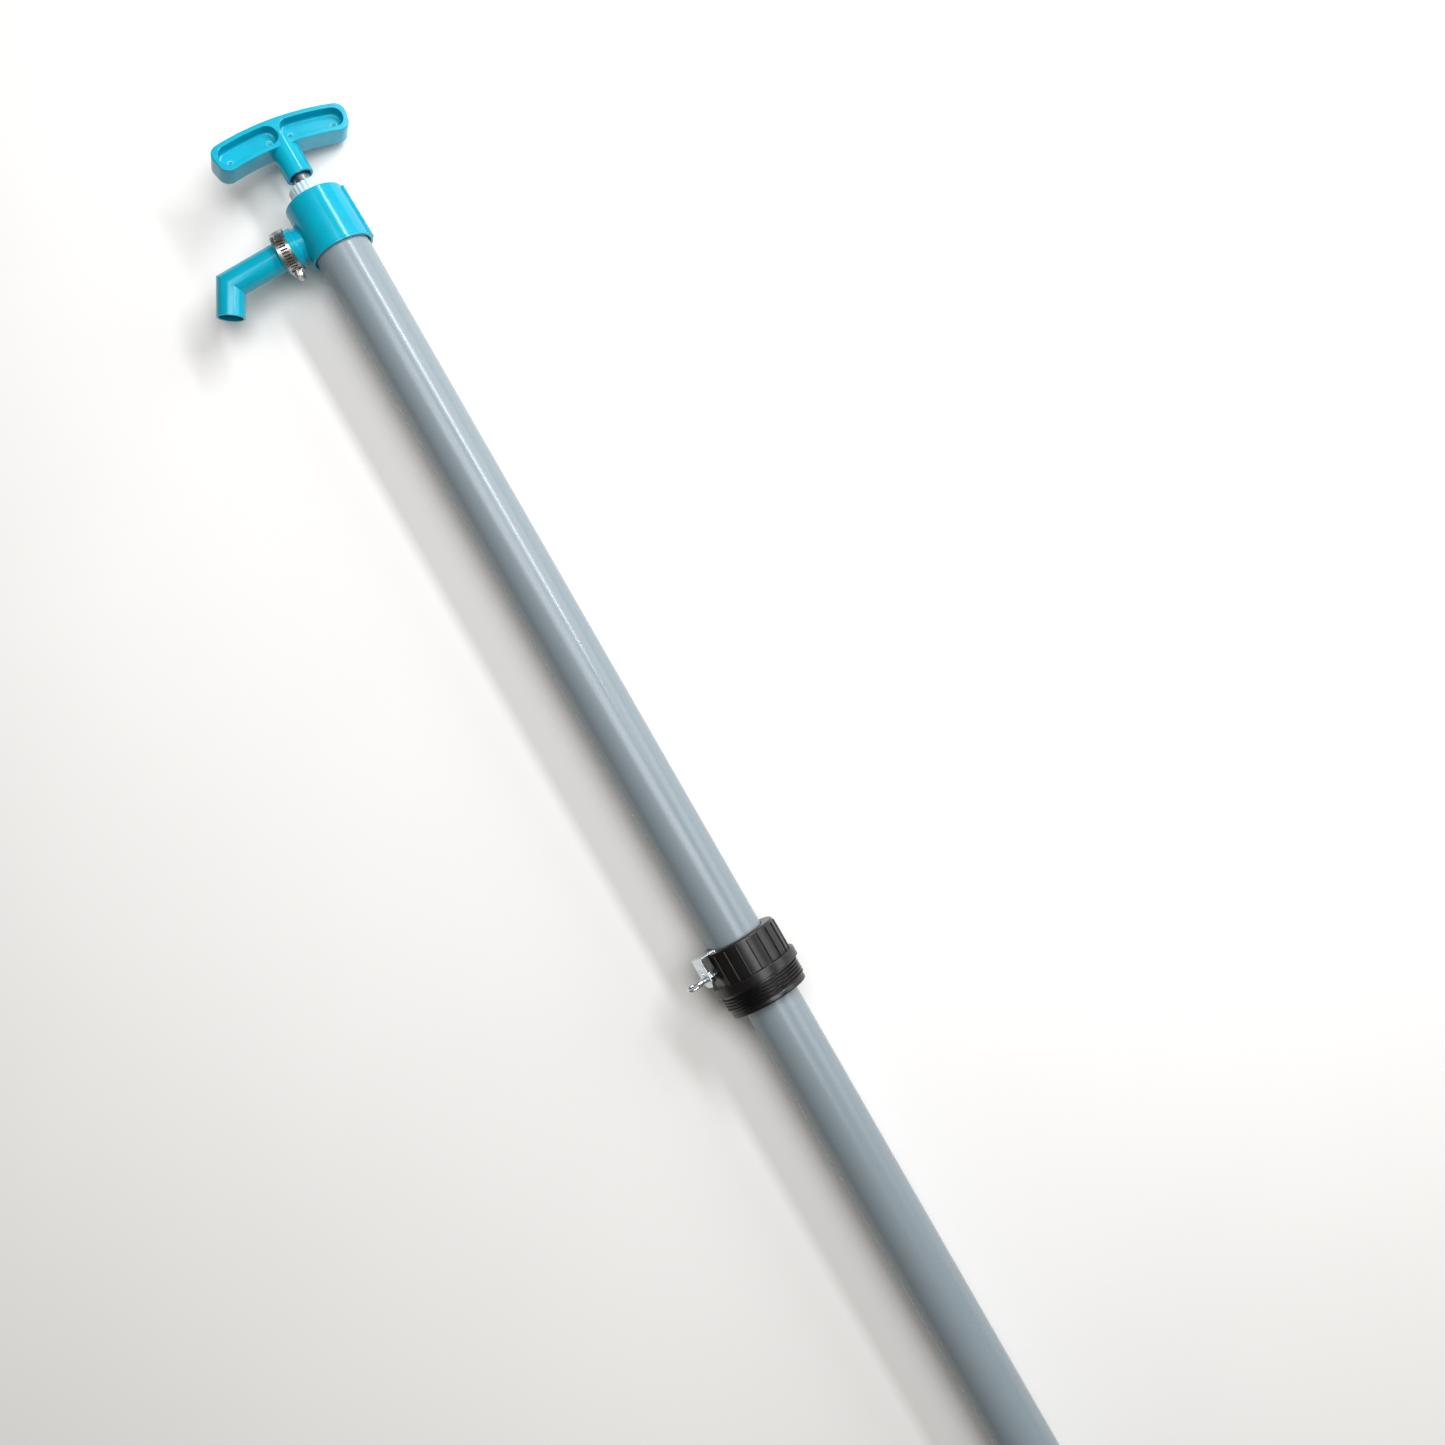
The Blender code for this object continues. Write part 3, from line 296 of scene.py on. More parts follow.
WORM_FLANGE_RADIUS = 0.0029
WORM_FLANGE = 0.0006
WORM_HEAD_FLATS = 0.0048
WORM_HEAD_LENGTH = 0.0026
WORM_SLOT = 0.0009
WORM_SLOT_DEPTH = 0.0013


# --- mesh helpers -------------------------------------------------------------
def rounded(corners):
    """An outline through (x, z) or (x, z, fillet) corners, each fillet an arc."""
    points = []
    for index, corner in enumerate(corners):
        here = Vector(corner[:2])
        fillet = corner[2] if len(corner) > 2 else 0
        if not fillet:
            points.append(here)
            continue
        back = (Vector(corners[index - 1][:2]) - here).normalized()
        ahead = (Vector(corners[(index + 1) % len(corners)][:2]) - here).normalized()
        opening = back.angle(ahead)
        centre = here + (back + ahead).normalized() * fillet / math.sin(opening / 2)
        arm = here + back * fillet / math.tan(opening / 2) - centre
        turn = math.pi - opening
        side = 1 if back.x * ahead.y - back.y * ahead.x < 0 else -1
        steps = max(2, math.ceil(turn / FILLET_STEP))
        for step in range(steps + 1):
            points.append(centre + Matrix.Rotation(side * turn * step / steps, 2) @ arm)
    return points


def arc(centre, radius, start, end, steps):
    """Points on an arc in the (x, z) plane, angles from +x."""
    turns = [start + (end - start) * step / steps for step in range(steps + 1)]
    return [(centre[0] + radius * math.cos(t), centre[1] + radius * math.sin(t)) for t in turns]


def turned(profile, facets=FINE):
    """Spin a closed (radius, height) outline round z into a solid."""
    shape = bmesh.new()
    ring = [shape.verts.new((point[0], 0.0, point[1])) for point in profile]
    for first, second in zip(ring, ring[1:] + ring[:1]):
        if max(first.co.x, second.co.x) > 1e-9:
            shape.edges.new((first, second))
    bmesh.ops.spin(
        shape,
        geom=ring + list(shape.edges),
        cent=(0, 0, 0),
        axis=(0, 0, 1),
        angle=math.tau,
        steps=facets,
        use_merge=True,
    )
    bmesh.ops.remove_doubles(shape, verts=shape.verts, dist=1e-6)
    bmesh.ops.recalc_face_normals(shape, faces=shape.faces)
    return shape


def rod_shape(radius, low, high, facets=SMALL_FINE):
    return turned([(0, low), (radius, low), (radius, high), (0, high)], facets)


def box_shape(low, high):
    shape = bmesh.new()
    bmesh.ops.create_cube(shape, size=1.0)
    bmesh.ops.scale(shape, vec=Vector(high) - Vector(low), verts=shape.verts)
    bmesh.ops.translate(shape, vec=(Vector(high) + Vector(low)) / 2, verts=shape.verts)
    return shape


def slab(outline, low, high):
    """Extrude a closed (x, z) outline along y."""
    shape = bmesh.new()
    face = shape.faces.new([shape.verts.new((point[0], low, point[1])) for point in outline])
    raised = bmesh.ops.extrude_face_region(shape, geom=[face])["geom"]
    verts = [part for part in raised if isinstance(part, bmesh.types.BMVert)]
    bmesh.ops.translate(shape, vec=(0, high - low, 0), verts=verts)
    bmesh.ops.recalc_face_normals(shape, faces=shape.faces)
    return shape


def bevelled(shape, edges, offset, segments=3):
    bmesh.ops.bevel(
        shape, geom=edges, offset=offset, segments=segments, profile=0.5, affect="EDGES", material=-1
    )
    return shape


def placed(shape, place):
    shape.transform(place)
    return shape


def at_height(height):
    return Matrix.Translation((0, 0, height))


def turned_by(angle):
    return Matrix.Rotation(angle, 4, "Z")


ALONG_X = Matrix.Rotation(math.pi / 2, 4, "Y")       # turns z into x
ALONG_Y = Matrix.Rotation(-math.pi / 2, 4, "X")      # turns z into y


def loose(shape):
    """A helper object, only there while a boolean is worked out."""
    mesh = bpy.data.meshes.new("helper")
    shape.to_mesh(mesh)
    shape.free()
    made = bpy.data.objects.new("helper", mesh)
    bpy.context.scene.collection.objects.link(made)
    return made


def combined(shape, *steps):
    """Apply ("UNION" or "DIFFERENCE" or "INTERSECT", other shape) steps in order."""
    target = loose(shape)
    helpers = [target]
    for kind, other in steps:
        tool = loose(other)
        change = target.modifiers.new("combine", "BOOLEAN")
        change.operation = kind
        change.solver = "EXACT"
        change.object = tool
        helpers.append(tool)
    made = bmesh.new()
    made.from_object(target, bpy.context.evaluated_depsgraph_get())
    for helper in helpers:
        mesh = helper.data
        bpy.data.objects.remove(helper)
        bpy.data.meshes.remove(mesh)
    bmesh.ops.remove_doubles(made, verts=made.verts, dist=2e-6)
    return made


def joined(shape, other):
    """Both shapes in one mesh, side by side."""
    mesh = bpy.data.meshes.new("joined")
    other.to_mesh(mesh)
    other.free()
    shape.from_mesh(mesh)
    bpy.data.meshes.remove(mesh)
    return shape


def thickened(strip, thickness):
    """Give a rolled strip its wall, half on each side."""
    sheet = loose(strip)
    wall = sheet.modifiers.new("wall", "SOLIDIFY")
    wall.thickness = thickness
    wall.offset = 0.0
    made = bmesh.new()
    made.from_object(sheet, bpy.context.evaluated_depsgraph_get())
    mesh = sheet.data
    bpy.data.objects.remove(sheet)
    bpy.data.meshes.remove(mesh)
    return made


def piece(name, shape, finish, body, place=Matrix.Identity(4), sharp=32.0):
    """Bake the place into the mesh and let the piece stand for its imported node."""
    shape.transform(LAY @ place)
    mesh = bpy.data.meshes.new(name)
    shape.to_mesh(mesh)
    shape.free()
    mesh.shade_smooth()
    mesh.set_sharp_from_angle(angle=math.radians(sharp))
    mesh.materials.append(finish)
    made = bpy.data.objects.new(name + "_shell", mesh)
    bpy.context.scene.collection.objects.link(made)
    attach(made, body)
    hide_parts(name)
    return made


def softened(made, width, segments=2, angle=35.0):
    """Fine bevels on the edges that are left sharp, then even normals."""
    edge = made.modifiers.new("edges", "BEVEL")
    edge.width = width
    edge.segments = segments
    edge.limit_method = "ANGLE"
    edge.angle_limit = math.radians(angle)
    edge.harden_normals = False
    evened(made)


def evened(made):
    even = made.modifiers.new("normals", "WEIGHTED_NORMAL")
    even.keep_sharp = True


def clamped(value):
    return min(1.0, max(0.0, value))


def ridge(height, turn, first, pitch, turns):
    """How far a right-hand thread stands out at a height and turn, from 0 to 1."""
    along = (height - first) / pitch - turn / math.tau
    lap = round(along) + turn / math.tau
    off = abs(along - round(along))
    lift = clamped((THREAD_FOOT - off) / (THREAD_FOOT - THREAD_CREST))
    fade = clamped(min(lap, turns - lap) / THREAD_FADE)
    return lift * lift * (3 - 2 * lift) * fade


def cut_thread(shape, root, depth, first, pitch, turns, least):
    """Raise a helical ridge on the outer wall of a turned shape."""
    for vert in shape.verts:
        radius = vert.co.xy.length
        if radius < least:
            continue
        turn = math.atan2(vert.co.y, vert.co.x) % math.tau
        lift = ridge(vert.co.z, turn, first, pitch, turns)
        if lift > 0:
            vert.co.xy *= max(radius, root + depth * lift) / radius


def rows(radius, low, high, step):
    """Points up a straight wall, close enough together for a thread."""
    count = max(1, round((high - low) / step))
    return [(radius, low + (high - low) * number / count) for number in range(count + 1)]


# --- finishes -----------------------------------------------------------------
def finish(name, dark, light, patch, rough, grain, grain_depth, stretch=(1, 1, 1), **sockets):
    """A procedural finish: two close tones in patches, uneven gloss and a fine grain.

    patch and grain are noise scales per metre; grain_depth is the grain's depth in metres;
    stretch turns the grain into lines along the axis with the small number."""
    made = bpy.data.materials.new(name)
    made.use_nodes = True
    nodes = made.node_tree.nodes
    link = made.node_tree.links.new
    shader = nodes["Principled BSDF"]
    for socket, value in sockets.items():
        shader.inputs[socket.replace("_", " ")].default_value = value
    place = nodes.new("ShaderNodeTexCoord")
    scaled = nodes.new("ShaderNodeMapping")
    scaled.inputs["Scale"].default_value = stretch
    link(place.outputs["Object"], scaled.inputs["Vector"])

    tone = nodes.new("ShaderNodeTexNoise")
    tone.inputs["Scale"].default_value = patch
    tone.inputs["Detail"].default_value = 4.0
    link(scaled.outputs["Vector"], tone.inputs["Vector"])
    colour = nodes.new("ShaderNodeValToRGB")
    colour.color_ramp.elements[0].position = 0.32
    colour.color_ramp.elements[0].color = (*dark, 1.0)
    colour.color_ramp.elements[1].position = 0.68
    colour.color_ramp.elements[1].color = (*light, 1.0)
    link(tone.outputs["Fac"], colour.inputs["Fac"])
    link(colour.outputs["Color"], shader.inputs["Base Color"])

    fine = nodes.new("ShaderNodeTexNoise")
    fine.inputs["Scale"].default_value = grain
    fine.inputs["Detail"].default_value = 3.0
    link(scaled.outputs["Vector"], fine.inputs["Vector"])
    gloss = nodes.new("ShaderNodeMapRange")
    gloss.inputs["From Min"].default_value = 0.3
    gloss.inputs["From Max"].default_value = 0.7
    gloss.inputs["To Min"].default_value = rough[0]
    gloss.inputs["To Max"].default_value = rough[1]
    link(fine.outputs["Fac"], gloss.inputs["Value"])
    link(gloss.outputs["Result"], shader.inputs["Roughness"])

    bump = nodes.new("ShaderNodeBump")
    bump.inputs["Strength"].default_value = 1.0
    bump.inputs["Distance"].default_value = grain_depth
    link(fine.outputs["Fac"], bump.inputs["Height"])
    link(bump.outputs["Normal"], shader.inputs["Normal"])
    return made


GREY = finish(
    "extruded_grey", (0.215, 0.262, 0.292), (0.240, 0.290, 0.322), 14, (0.22, 0.30), 500, 0.000004,
    (0.03, 1, 1), IOR=1.50,
)
TEAL = finish(
    "moulded_teal", (0.000, 0.330, 0.465), (0.000, 0.372, 0.520), 60, (0.15, 0.24), 1400,
    0.000010, Specular_Tint=(0.80, 0.97, 1.0, 1.0), IOR=1.48,
)
# painted highlight: a lighter copy of the teal for the ejector marks, standing for the light they
# catch on the pockets' floors
EJECTOR_HIGHLIGHT_TEAL = finish(
    "teal_marks_painted_highlight", (0.080, 0.560, 0.690), (0.110, 0.620, 0.740), 300, (0.30, 0.40), 1400,
    0.000008, Specular_Tint=(0.80, 0.97, 1.0, 1.0), IOR=1.42,
)
WHITE = finish(
    "moulded_white", (0.50, 0.65, 0.71), (0.60, 0.74, 0.79), 90, (0.24, 0.34), 1500, 0.000012,
    Subsurface_Weight=0.30, Subsurface_Scale=0.004,
)
BLACK = finish(
    "moulded_black", (0.0030, 0.0030, 0.0035), (0.0050, 0.0049, 0.0055), 120, (0.26, 0.38), 1600,
    0.000010,
)
# painted shade: a dark steel for the clamp's liner, standing for the shade seen down the band's
# slots
SLOT_SHADE_STEEL = finish(
    "stainless_painted_shade", (0.035, 0.036, 0.036), (0.070, 0.072, 0.072), 300, (0.45, 0.60), 1800,
    0.000006, Metallic=1.0,
)
RUBBER = finish(
    "rubber", (0.012, 0.012, 0.012), (0.022, 0.022, 0.022), 200, (0.62, 0.80), 2500, 0.00003,
)
ZINC = finish(
    "zinc_plate", (0.56, 0.62, 0.66), (0.78, 0.82, 0.86), 420, (0.20, 0.38), 2200, 0.000010,
    Metallic=1.0,
)
STEEL = finish(
    "stainless", (0.52, 0.51, 0.49), (0.66, 0.65, 0.63), 260, (0.20, 0.34), 1800, 0.000006,
    (1, 1, 0.08), Metallic=1.0,
)
DRAWN = finish(
    "drawn_rod", (0.36, 0.38, 0.41), (0.48, 0.50, 0.54), 160, (0.26, 0.38), 1500, 0.000008,
    (0.03, 1, 1), Metallic=1.0,
)
CAD_FINISHES = {
    "tube_grey": GREY,
    "teal_plastic": TEAL,
    "white_plastic": WHITE,
    "black_plastic": BLACK,
    "rubber": RUBBER,
    "zinc": ZINC,
    "stainless": STEEL,
    "rod_metal": DRAWN,
}


# --- tube ---------------------------------------------------------------------
def make_tube():
    """A plain tube with the outlet's port in its wall."""
    edge = TUBE_EDGE
    wall = rounded([
        (BORE, TUBE_BOTTOM, edge),
        (TUBE_RADIUS, TUBE_BOTTOM, edge),
        (TUBE_RADIUS, TUBE_TOP, edge),
        (BORE, TUBE_TOP, edge),
    ])
    port = placed(rod_shape(PORT_RADIUS, 0, BIG), at_height(OUTLET_Z) @ ALONG_X)
    shape = combined(turned(wall), ("DIFFERENCE", port))
    evened(piece("tube", shape, GREY, "barrel"))


# --- cap with side outlet -----------------------------------------------------
def make_cap():
    """A drafted cap with lip, back rib, outlet and nozzle, hollow round the gland."""
    height = CAP_HEIGHT
    outside = rounded([
        (0, 0),
        (CAP_RADIUS + CAP_LIP, 0, EDGE),
        (CAP_RADIUS + CAP_LIP, CAP_LIP_HEIGHT, CRISP),
        (CAP_RADIUS, CAP_LIP_HEIGHT + CAP_LIP, CRISP),
        (CAP_TOP_RADIUS, height, CAP_EDGE),
        (0, height),
    ])
    outlet = rounded([
        (0, 0),
        (NECK_RADIUS, 0),
        (NECK_RADIUS, COLLAR_START, CRISP),
        (COLLAR_RADIUS, COLLAR_START, EDGE),
        (COLLAR_RADIUS, COLLAR_END, SOFT),
        (NOZZLE_RADIUS, COLLAR_END, HAIR),
        (NOZZLE_RADIUS, COLLAR_END + NOZZLE_LENGTH, SOFT),
        (0, COLLAR_END + NOZZLE_LENGTH),
    ])
    outlet_place = at_height(OUTLET_Z - CAP_BOTTOM) @ ALONG_X
    rib_low = (-CAP_RADIUS - RIB_PROUD, -RIB_WIDTH / 2, CAP_LIP_HEIGHT / 2)
    rib_high = (-CAP_RADIUS / 2, RIB_WIDTH / 2, height - RIB_MARGIN)
    rib = box_shape(rib_low, rib_high)
    for vert in rib.verts:
        if vert.co.x < -CAP_RADIUS and vert.co.z > height / 2:
            vert.co.x += CAP_RADIUS - CAP_TOP_RADIUS
    outer = [edge for edge in rib.edges if any(vert.co.x < -CAP_RADIUS for vert in edge.verts)]
    bevelled(rib, outer, SOFT)
    boss_bottom = height - BOSS_DEPTH
    hollow = rounded([
        (0, -BIG),
        (CAP_INNER + CAP_LEAD_IN, -BIG),
        (CAP_INNER + CAP_LEAD_IN, 0),
        (CAP_INNER, CAP_LEAD_IN * 2, EDGE),
        (CAP_INNER, TUBE_TOP - CAP_BOTTOM + GAP),
        (BORE, TUBE_TOP - CAP_BOTTOM + GAP),
        (BORE, height - CAP_TOP_THICKNESS),
        (BOSS_RADIUS, height - CAP_TOP_THICKNESS),
        (BOSS_RADIUS, boss_bottom),
        (ROD_RADIUS + RUN, boss_bottom),
        (ROD_RADIUS + RUN, boss_bottom + BOSS_FLOOR),
        (GLAND_RADIUS, boss_bottom + BOSS_FLOOR),
        (GLAND_RADIUS, BIG),
        (0, BIG),
    ])
    passage = placed(rod_shape(PORT_RADIUS, BORE * 0.9, BIG), outlet_place)
    shape = combined(
        turned(outside),
        ("UNION", placed(turned(outlet, SMALL_FINE), outlet_place)),
        ("UNION", rib),
        ("DIFFERENCE", turned(hollow)),
        ("DIFFERENCE", passage),
    )
    evened(piece("top_cap", shape, TEAL, "barrel", at_height(CAP_BOTTOM)))


# --- gland nut ----------------------------------------------------------------
def make_gland_nut():
    """Spun round the rod, then fluted by drawing the wall in."""
    low = heights("gland_nut")[0] - CAP_TOP
    top = GAP + NUT_HEIGHT
    outer = NUT_RADIUS
    profile = rounded([
        (ROD_RADIUS + RUN, low),
        (GLAND_RADIUS - GAP, low, EDGE),
        (GLAND_RADIUS - GAP, GAP),
        (outer, GAP, EDGE),
        (outer, top, NUT_EDGE),
        (ROD_RADIUS + RUN + NUT_LEAD_IN, top, EDGE),
        (ROD_RADIUS + RUN, top - NUT_LEAD_IN, CRISP),
    ])
    shape = turned(profile, NUT_SERRATIONS * 8)
    for vert in shape.verts:
        radius = vert.co.xy.length
        if radius > outer - NUT_FLUTE_REACH and vert.co.z > GAP + NUT_BAND:
            wave = math.cos(math.atan2(vert.co.y, vert.co.x) * NUT_SERRATIONS)
            groove = clamped(NUT_FLUTE_BIAS - NUT_FLUTE_SLOPE * wave)
            vert.co.xy *= 1 - NUT_SERRATION_DEPTH * groove / radius
    piece("gland_nut", shape, WHITE, "barrel", at_height(CAP_TOP), sharp=50.0)


# --- rod and T-handle ---------------------------------------------------------
def make_rod():
    profile = rounded([
        (0, ROD_BOTTOM),
        (ROD_END_RADIUS, ROD_BOTTOM, EDGE),
        (ROD_END_RADIUS, ROD_STEP),
        (ROD_RADIUS, ROD_STEP, EDGE),
        (ROD_RADIUS, ROD_TOP, EDGE),
        (0, ROD_TOP),
    ])
    piece("pump_rod", turned(profile, SMALL_FINE), DRAWN, "plunger")


def on_arch(length, level):
    """The (x, z) point at an arc length and a height above the grip's middle line."""
    turn = length / GRIP_BEND_RADIUS
    radius = GRIP_BEND_RADIUS + level
    return Vector((radius * math.sin(turn), radius * math.cos(turn) - GRIP_BEND_RADIUS))


def grip_outline(start, end, half_height, corner, steps=10):
    """Outline of an arched bar between two arc lengths, corners rounded."""
    inner = half_height - corner
    low, high = start + corner, end - corner
    corners = ((high, inner, 0), (low, inner, 1), (low, -inner, 2), (high, -inner, 3))
    outline = []
    for length, level, quarter in corners:
        centre = on_arch(length, level)
        lean = length / GRIP_BEND_RADIUS
        for step in range(steps + 1):
            turn = math.pi / 2 * (quarter + step / steps) - lean
            outline.append(centre + Vector((math.cos(turn), math.sin(turn))) * corner)
        if quarter in (0, 2):
            level = half_height if quarter == 0 else -half_height
            count = max(2, round((high - low) / ARCH_STEP))
            along = [low + (high - low) * number / count for number in range(1, count)]
            if quarter == 0:
                along.reverse()
            outline += [on_arch(spot, level) for spot in along]
    return outline


def pocket_tool(start, end, middle):
    """Cutter for one pocket: a flared rim, drafted walls and a filleted floor."""
    half = GRIP_HEIGHT / 2 - GRIP_RIM + POCKET_FLARE
    outline = grip_outline(start - POCKET_FLARE, end + POCKET_FLARE, half, half * POCKET_ROUNDING)
    face_level = GRIP_DEPTH / 2
    shape = slab([(x, z + middle) for x, z in outline], face_level, face_level + GRIP_DEPTH)
    opening = min(shape.faces, key=lambda face: face.calc_center_median().y)
    steps = [(0, 0)]
    for step in range(1, FLARE_STEPS + 1):
        turn = math.pi / 2 * step / FLARE_STEPS
        steps.append((POCKET_FLARE * math.sin(turn), POCKET_FLARE * (1 - math.cos(turn))))
    wall_end = POCKET_DEPTH - POCKET_FILLET
    for step in range(FLOOR_STEPS + 1):
        turn = math.pi / 2 * step / FLOOR_STEPS
        inward = POCKET_FLARE + POCKET_DRAFT + POCKET_FILLET * (1 - math.cos(turn))
        steps.append((inward, wall_end + POCKET_FILLET * math.sin(turn)))
    for before, after in zip(steps, steps[1:]):
        bmesh.ops.inset_region(
            shape,
            faces=[opening],
            thickness=after[0] - before[0],
            depth=after[1] - before[1],
            use_even_offset=True,
            use_boundary=True,
        )
    bmesh.ops.recalc_face_normals(shape, faces=shape.faces)
    return shape


def make_handle():
    """An arched grip with pockets in both faces, and the rod's socket under it."""
    middle = SOCKET_LENGTH + GRIP_HEIGHT / 2
    half_span = GRIP_SPAN / 2
    half_depth = GRIP_DEPTH / 2
    outline = grip_outline(-half_span, half_span, GRIP_HEIGHT / 2, GRIP_CORNER)
    grip = slab([(x, z + middle) for x, z in outline], -half_depth, half_depth)
    rims = [edge for edge in grip.edges if abs(edge.verts[0].co.y - edge.verts[1].co.y) < 1e-6]
    bevelled(grip, rims, GRIP_EDGE, 4)
    socket = rounded([(0, 0), (SOCKET_RADIUS, 0, BLUNT), (SOCKET_RADIUS, middle), (0, middle)])
    steps = [("UNION", turned(socket, SMALL_FINE * 2))]
    pocket_low = GRIP_WEB / 2
    pocket_high = half_span - GRIP_RIM
    faces = (Matrix.Identity(4), turned_by(math.pi))
    for start, end in ((pocket_low, pocket_high), (-pocket_high, -pocket_low)):
        for face in faces:
            steps.append(("DIFFERENCE", placed(pocket_tool(start, end, middle), face)))
    bore = rounded([
        (0, -BIG),
        (SOCKET_MOUTH_RADIUS + EDGE, -BIG),
        (SOCKET_MOUTH_RADIUS + EDGE, 0),
        (SOCKET_MOUTH_RADIUS, BLUNT),
        (SOCKET_MOUTH_RADIUS, SOCKET_MOUTH_DEPTH, EDGE),
        (ROD_RADIUS + GAP, SOCKET_MOUTH_DEPTH),
        (ROD_RADIUS + GAP, ROD_IN_HANDLE + GAP),
        (0, ROD_IN_HANDLE + GAP),
    ])
    steps.append(("DIFFERENCE", turned(bore, SMALL_FINE)))
    floor = half_depth - POCKET_DEPTH
    ejector = rounded([
        (0, -GAP * 2),
        (EJECTOR_RADIUS, -GAP * 2),
        (EJECTOR_RADIUS, EJECTOR_PROUD, EJECTOR_EDGE),
        (EJECTOR_RADIUS * EJECTOR_RIM, EJECTOR_PROUD, EJECTOR_EDGE),
        (EJECTOR_RADIUS * EJECTOR_DISH, 0),
        (0, 0),
    ])
    shape = combined(grip, *steps)
    for side in (1, -1):
        for length in (pocket_low + EJECTOR_INSET, pocket_high - EJECTOR_INSET):
            spot = on_arch(side * length, -EJECTOR_DROP)
            for face in faces:
                place = face @ Matrix.Translation((spot.x, floor, spot.y + middle)) @ ALONG_Y
                mark = placed(turned(ejector, SMALL_FINE // 2), place)
                # the ejector marks take the lighter teal, a painted highlight
                for side_face in mark.faces:
                    side_face.material_index = 1
                joined(shape, mark)
    place = at_height(SOCKET_BOTTOM) @ turned_by(HANDLE_TURN)
    handle = piece("t_handle", shape, TEAL, "plunger", place)
    handle.data.materials.append(EJECTOR_HIGHLIGHT_TEAL)
    evened(handle)


# --- bung adapter -------------------------------------------------------------
def make_adapter():
    """Turned body with its thread, then ribs, and cuts for the strap, pad and screw."""
    root = THREAD_RADIUS - THREAD_DEPTH
    first = THREAD_LENGTH - THREAD_PITCH * (THREAD_TURNS + 0.5)
    start = first - THREAD_PITCH / 2
    groove = TUBE_RADIUS + RUN + RING_DEPTH + GAP
    ring_top = RING_PLACE + RING_HEIGHT + 2 * GAP
    top = ADAPTER_LENGTH
    row = THREAD_PITCH / THREAD_ROWS
    profile = rounded([(ADAPTER_BORE, 0, SOFT), (LEAD_RADIUS, 0, CAP_EDGE), (LEAD_RADIUS, start)])
    profile += rows(root, start + THREAD_PITCH / 4, THREAD_LENGTH - CRISP, row)
    profile += rounded([
        (root, THREAD_LENGTH, CRISP),
        (SHOULDER_RADIUS, THREAD_LENGTH, SOFT),
        (SHOULDER_RADIUS, SHOULDER_TOP, BLUNT),
        (GRIP_RING_RADIUS, SHOULDER_TOP, EDGE),
        (GRIP_RING_RADIUS, top, GRIP_RING_EDGE),
        (ADAPTER_BORE, top, BLUNT),
        (ADAPTER_BORE, ring_top),
        (groove, ring_top),
        (groove, RING_PLACE),
        (ADAPTER_BORE, RING_PLACE),
    ])
    body = turned(profile, THREAD_FINE)
    cut_thread(body, root, THREAD_DEPTH, first, THREAD_PITCH, THREAD_TURNS, root - 5 * THREAD_SKIN)
    strap_turn = turned_by(STRAP_ANGLE)
    half = FLAT_WIDTH / 2
    flat = box_shape((FLAT_RADIUS, -half, SHOULDER_TOP + GAP), (BIG, half, BIG))
    half = STRAP_WIDTH / 2 + GAP
    hook_outer = ADAPTER_BORE + STRAP_THICKNESS + 2 * GAP
    hook = box_shape((BORE, -half, top - STRAP_HOOK - GAP), (hook_outer, half, BIG))
    lock_place = strap_turn @ at_height(LOCK_Z - ADAPTER_BOTTOM) @ ALONG_X
    pad_end = TUBE_RADIUS + GAP + PAD_THICKNESS + PAD_TRAVEL
    shape = combined(
        body,
        ("UNION", grip_ribs(SHOULDER_TOP - GAP, top - GRIP_BAND)),
        ("DIFFERENCE", placed(flat, strap_turn)),
        ("DIFFERENCE", placed(hook, strap_turn)),
        ("DIFFERENCE", placed(rod_shape(PAD_RADIUS + GAP, BORE, pad_end), lock_place)),
        ("DIFFERENCE", placed(rod_shape(LOCK_RADIUS + GAP, BORE, BIG), lock_place)),
    )
    place = at_height(ADAPTER_BOTTOM)
    evened(piece("bung_adapter", shape, BLACK, "adapter", place, 40.0))


def grip_ribs(low, high):
    """Upright ribs with rounded tops, left out where the strap's flat is."""
    ribs = bmesh.new()
    inner = TUBE_RADIUS + GRIP_RIB_DEPTH
    outer = GRIP_RING_RADIUS + GRIP_RIB_PROUD
    half = GRIP_RIB_THICKNESS / 2
    spare = math.atan2(FLAT_WIDTH / 2 + GRIP_RIB_THICKNESS, FLAT_RADIUS)
    for number in range(GRIP_RIB_COUNT):
        turn = GRIP_RIB_START + math.tau * number / GRIP_RIB_COUNT
        off = (turn - STRAP_ANGLE + math.pi) % math.tau - math.pi
        if abs(off) < spare:
            continue
        rib = box_shape((inner, -half, low), (outer, half, high))
        edges = [
            edge for edge in rib.edges
            if max(vert.co.x for vert in edge.verts) > inner + GAP
            and max(vert.co.z for vert in edge.verts) > low + GAP
        ]
        placed(bevelled(rib, edges, half * GRIP_RIB_ROUNDING), turned_by(turn))
        joined(ribs, rib)
    return ribs


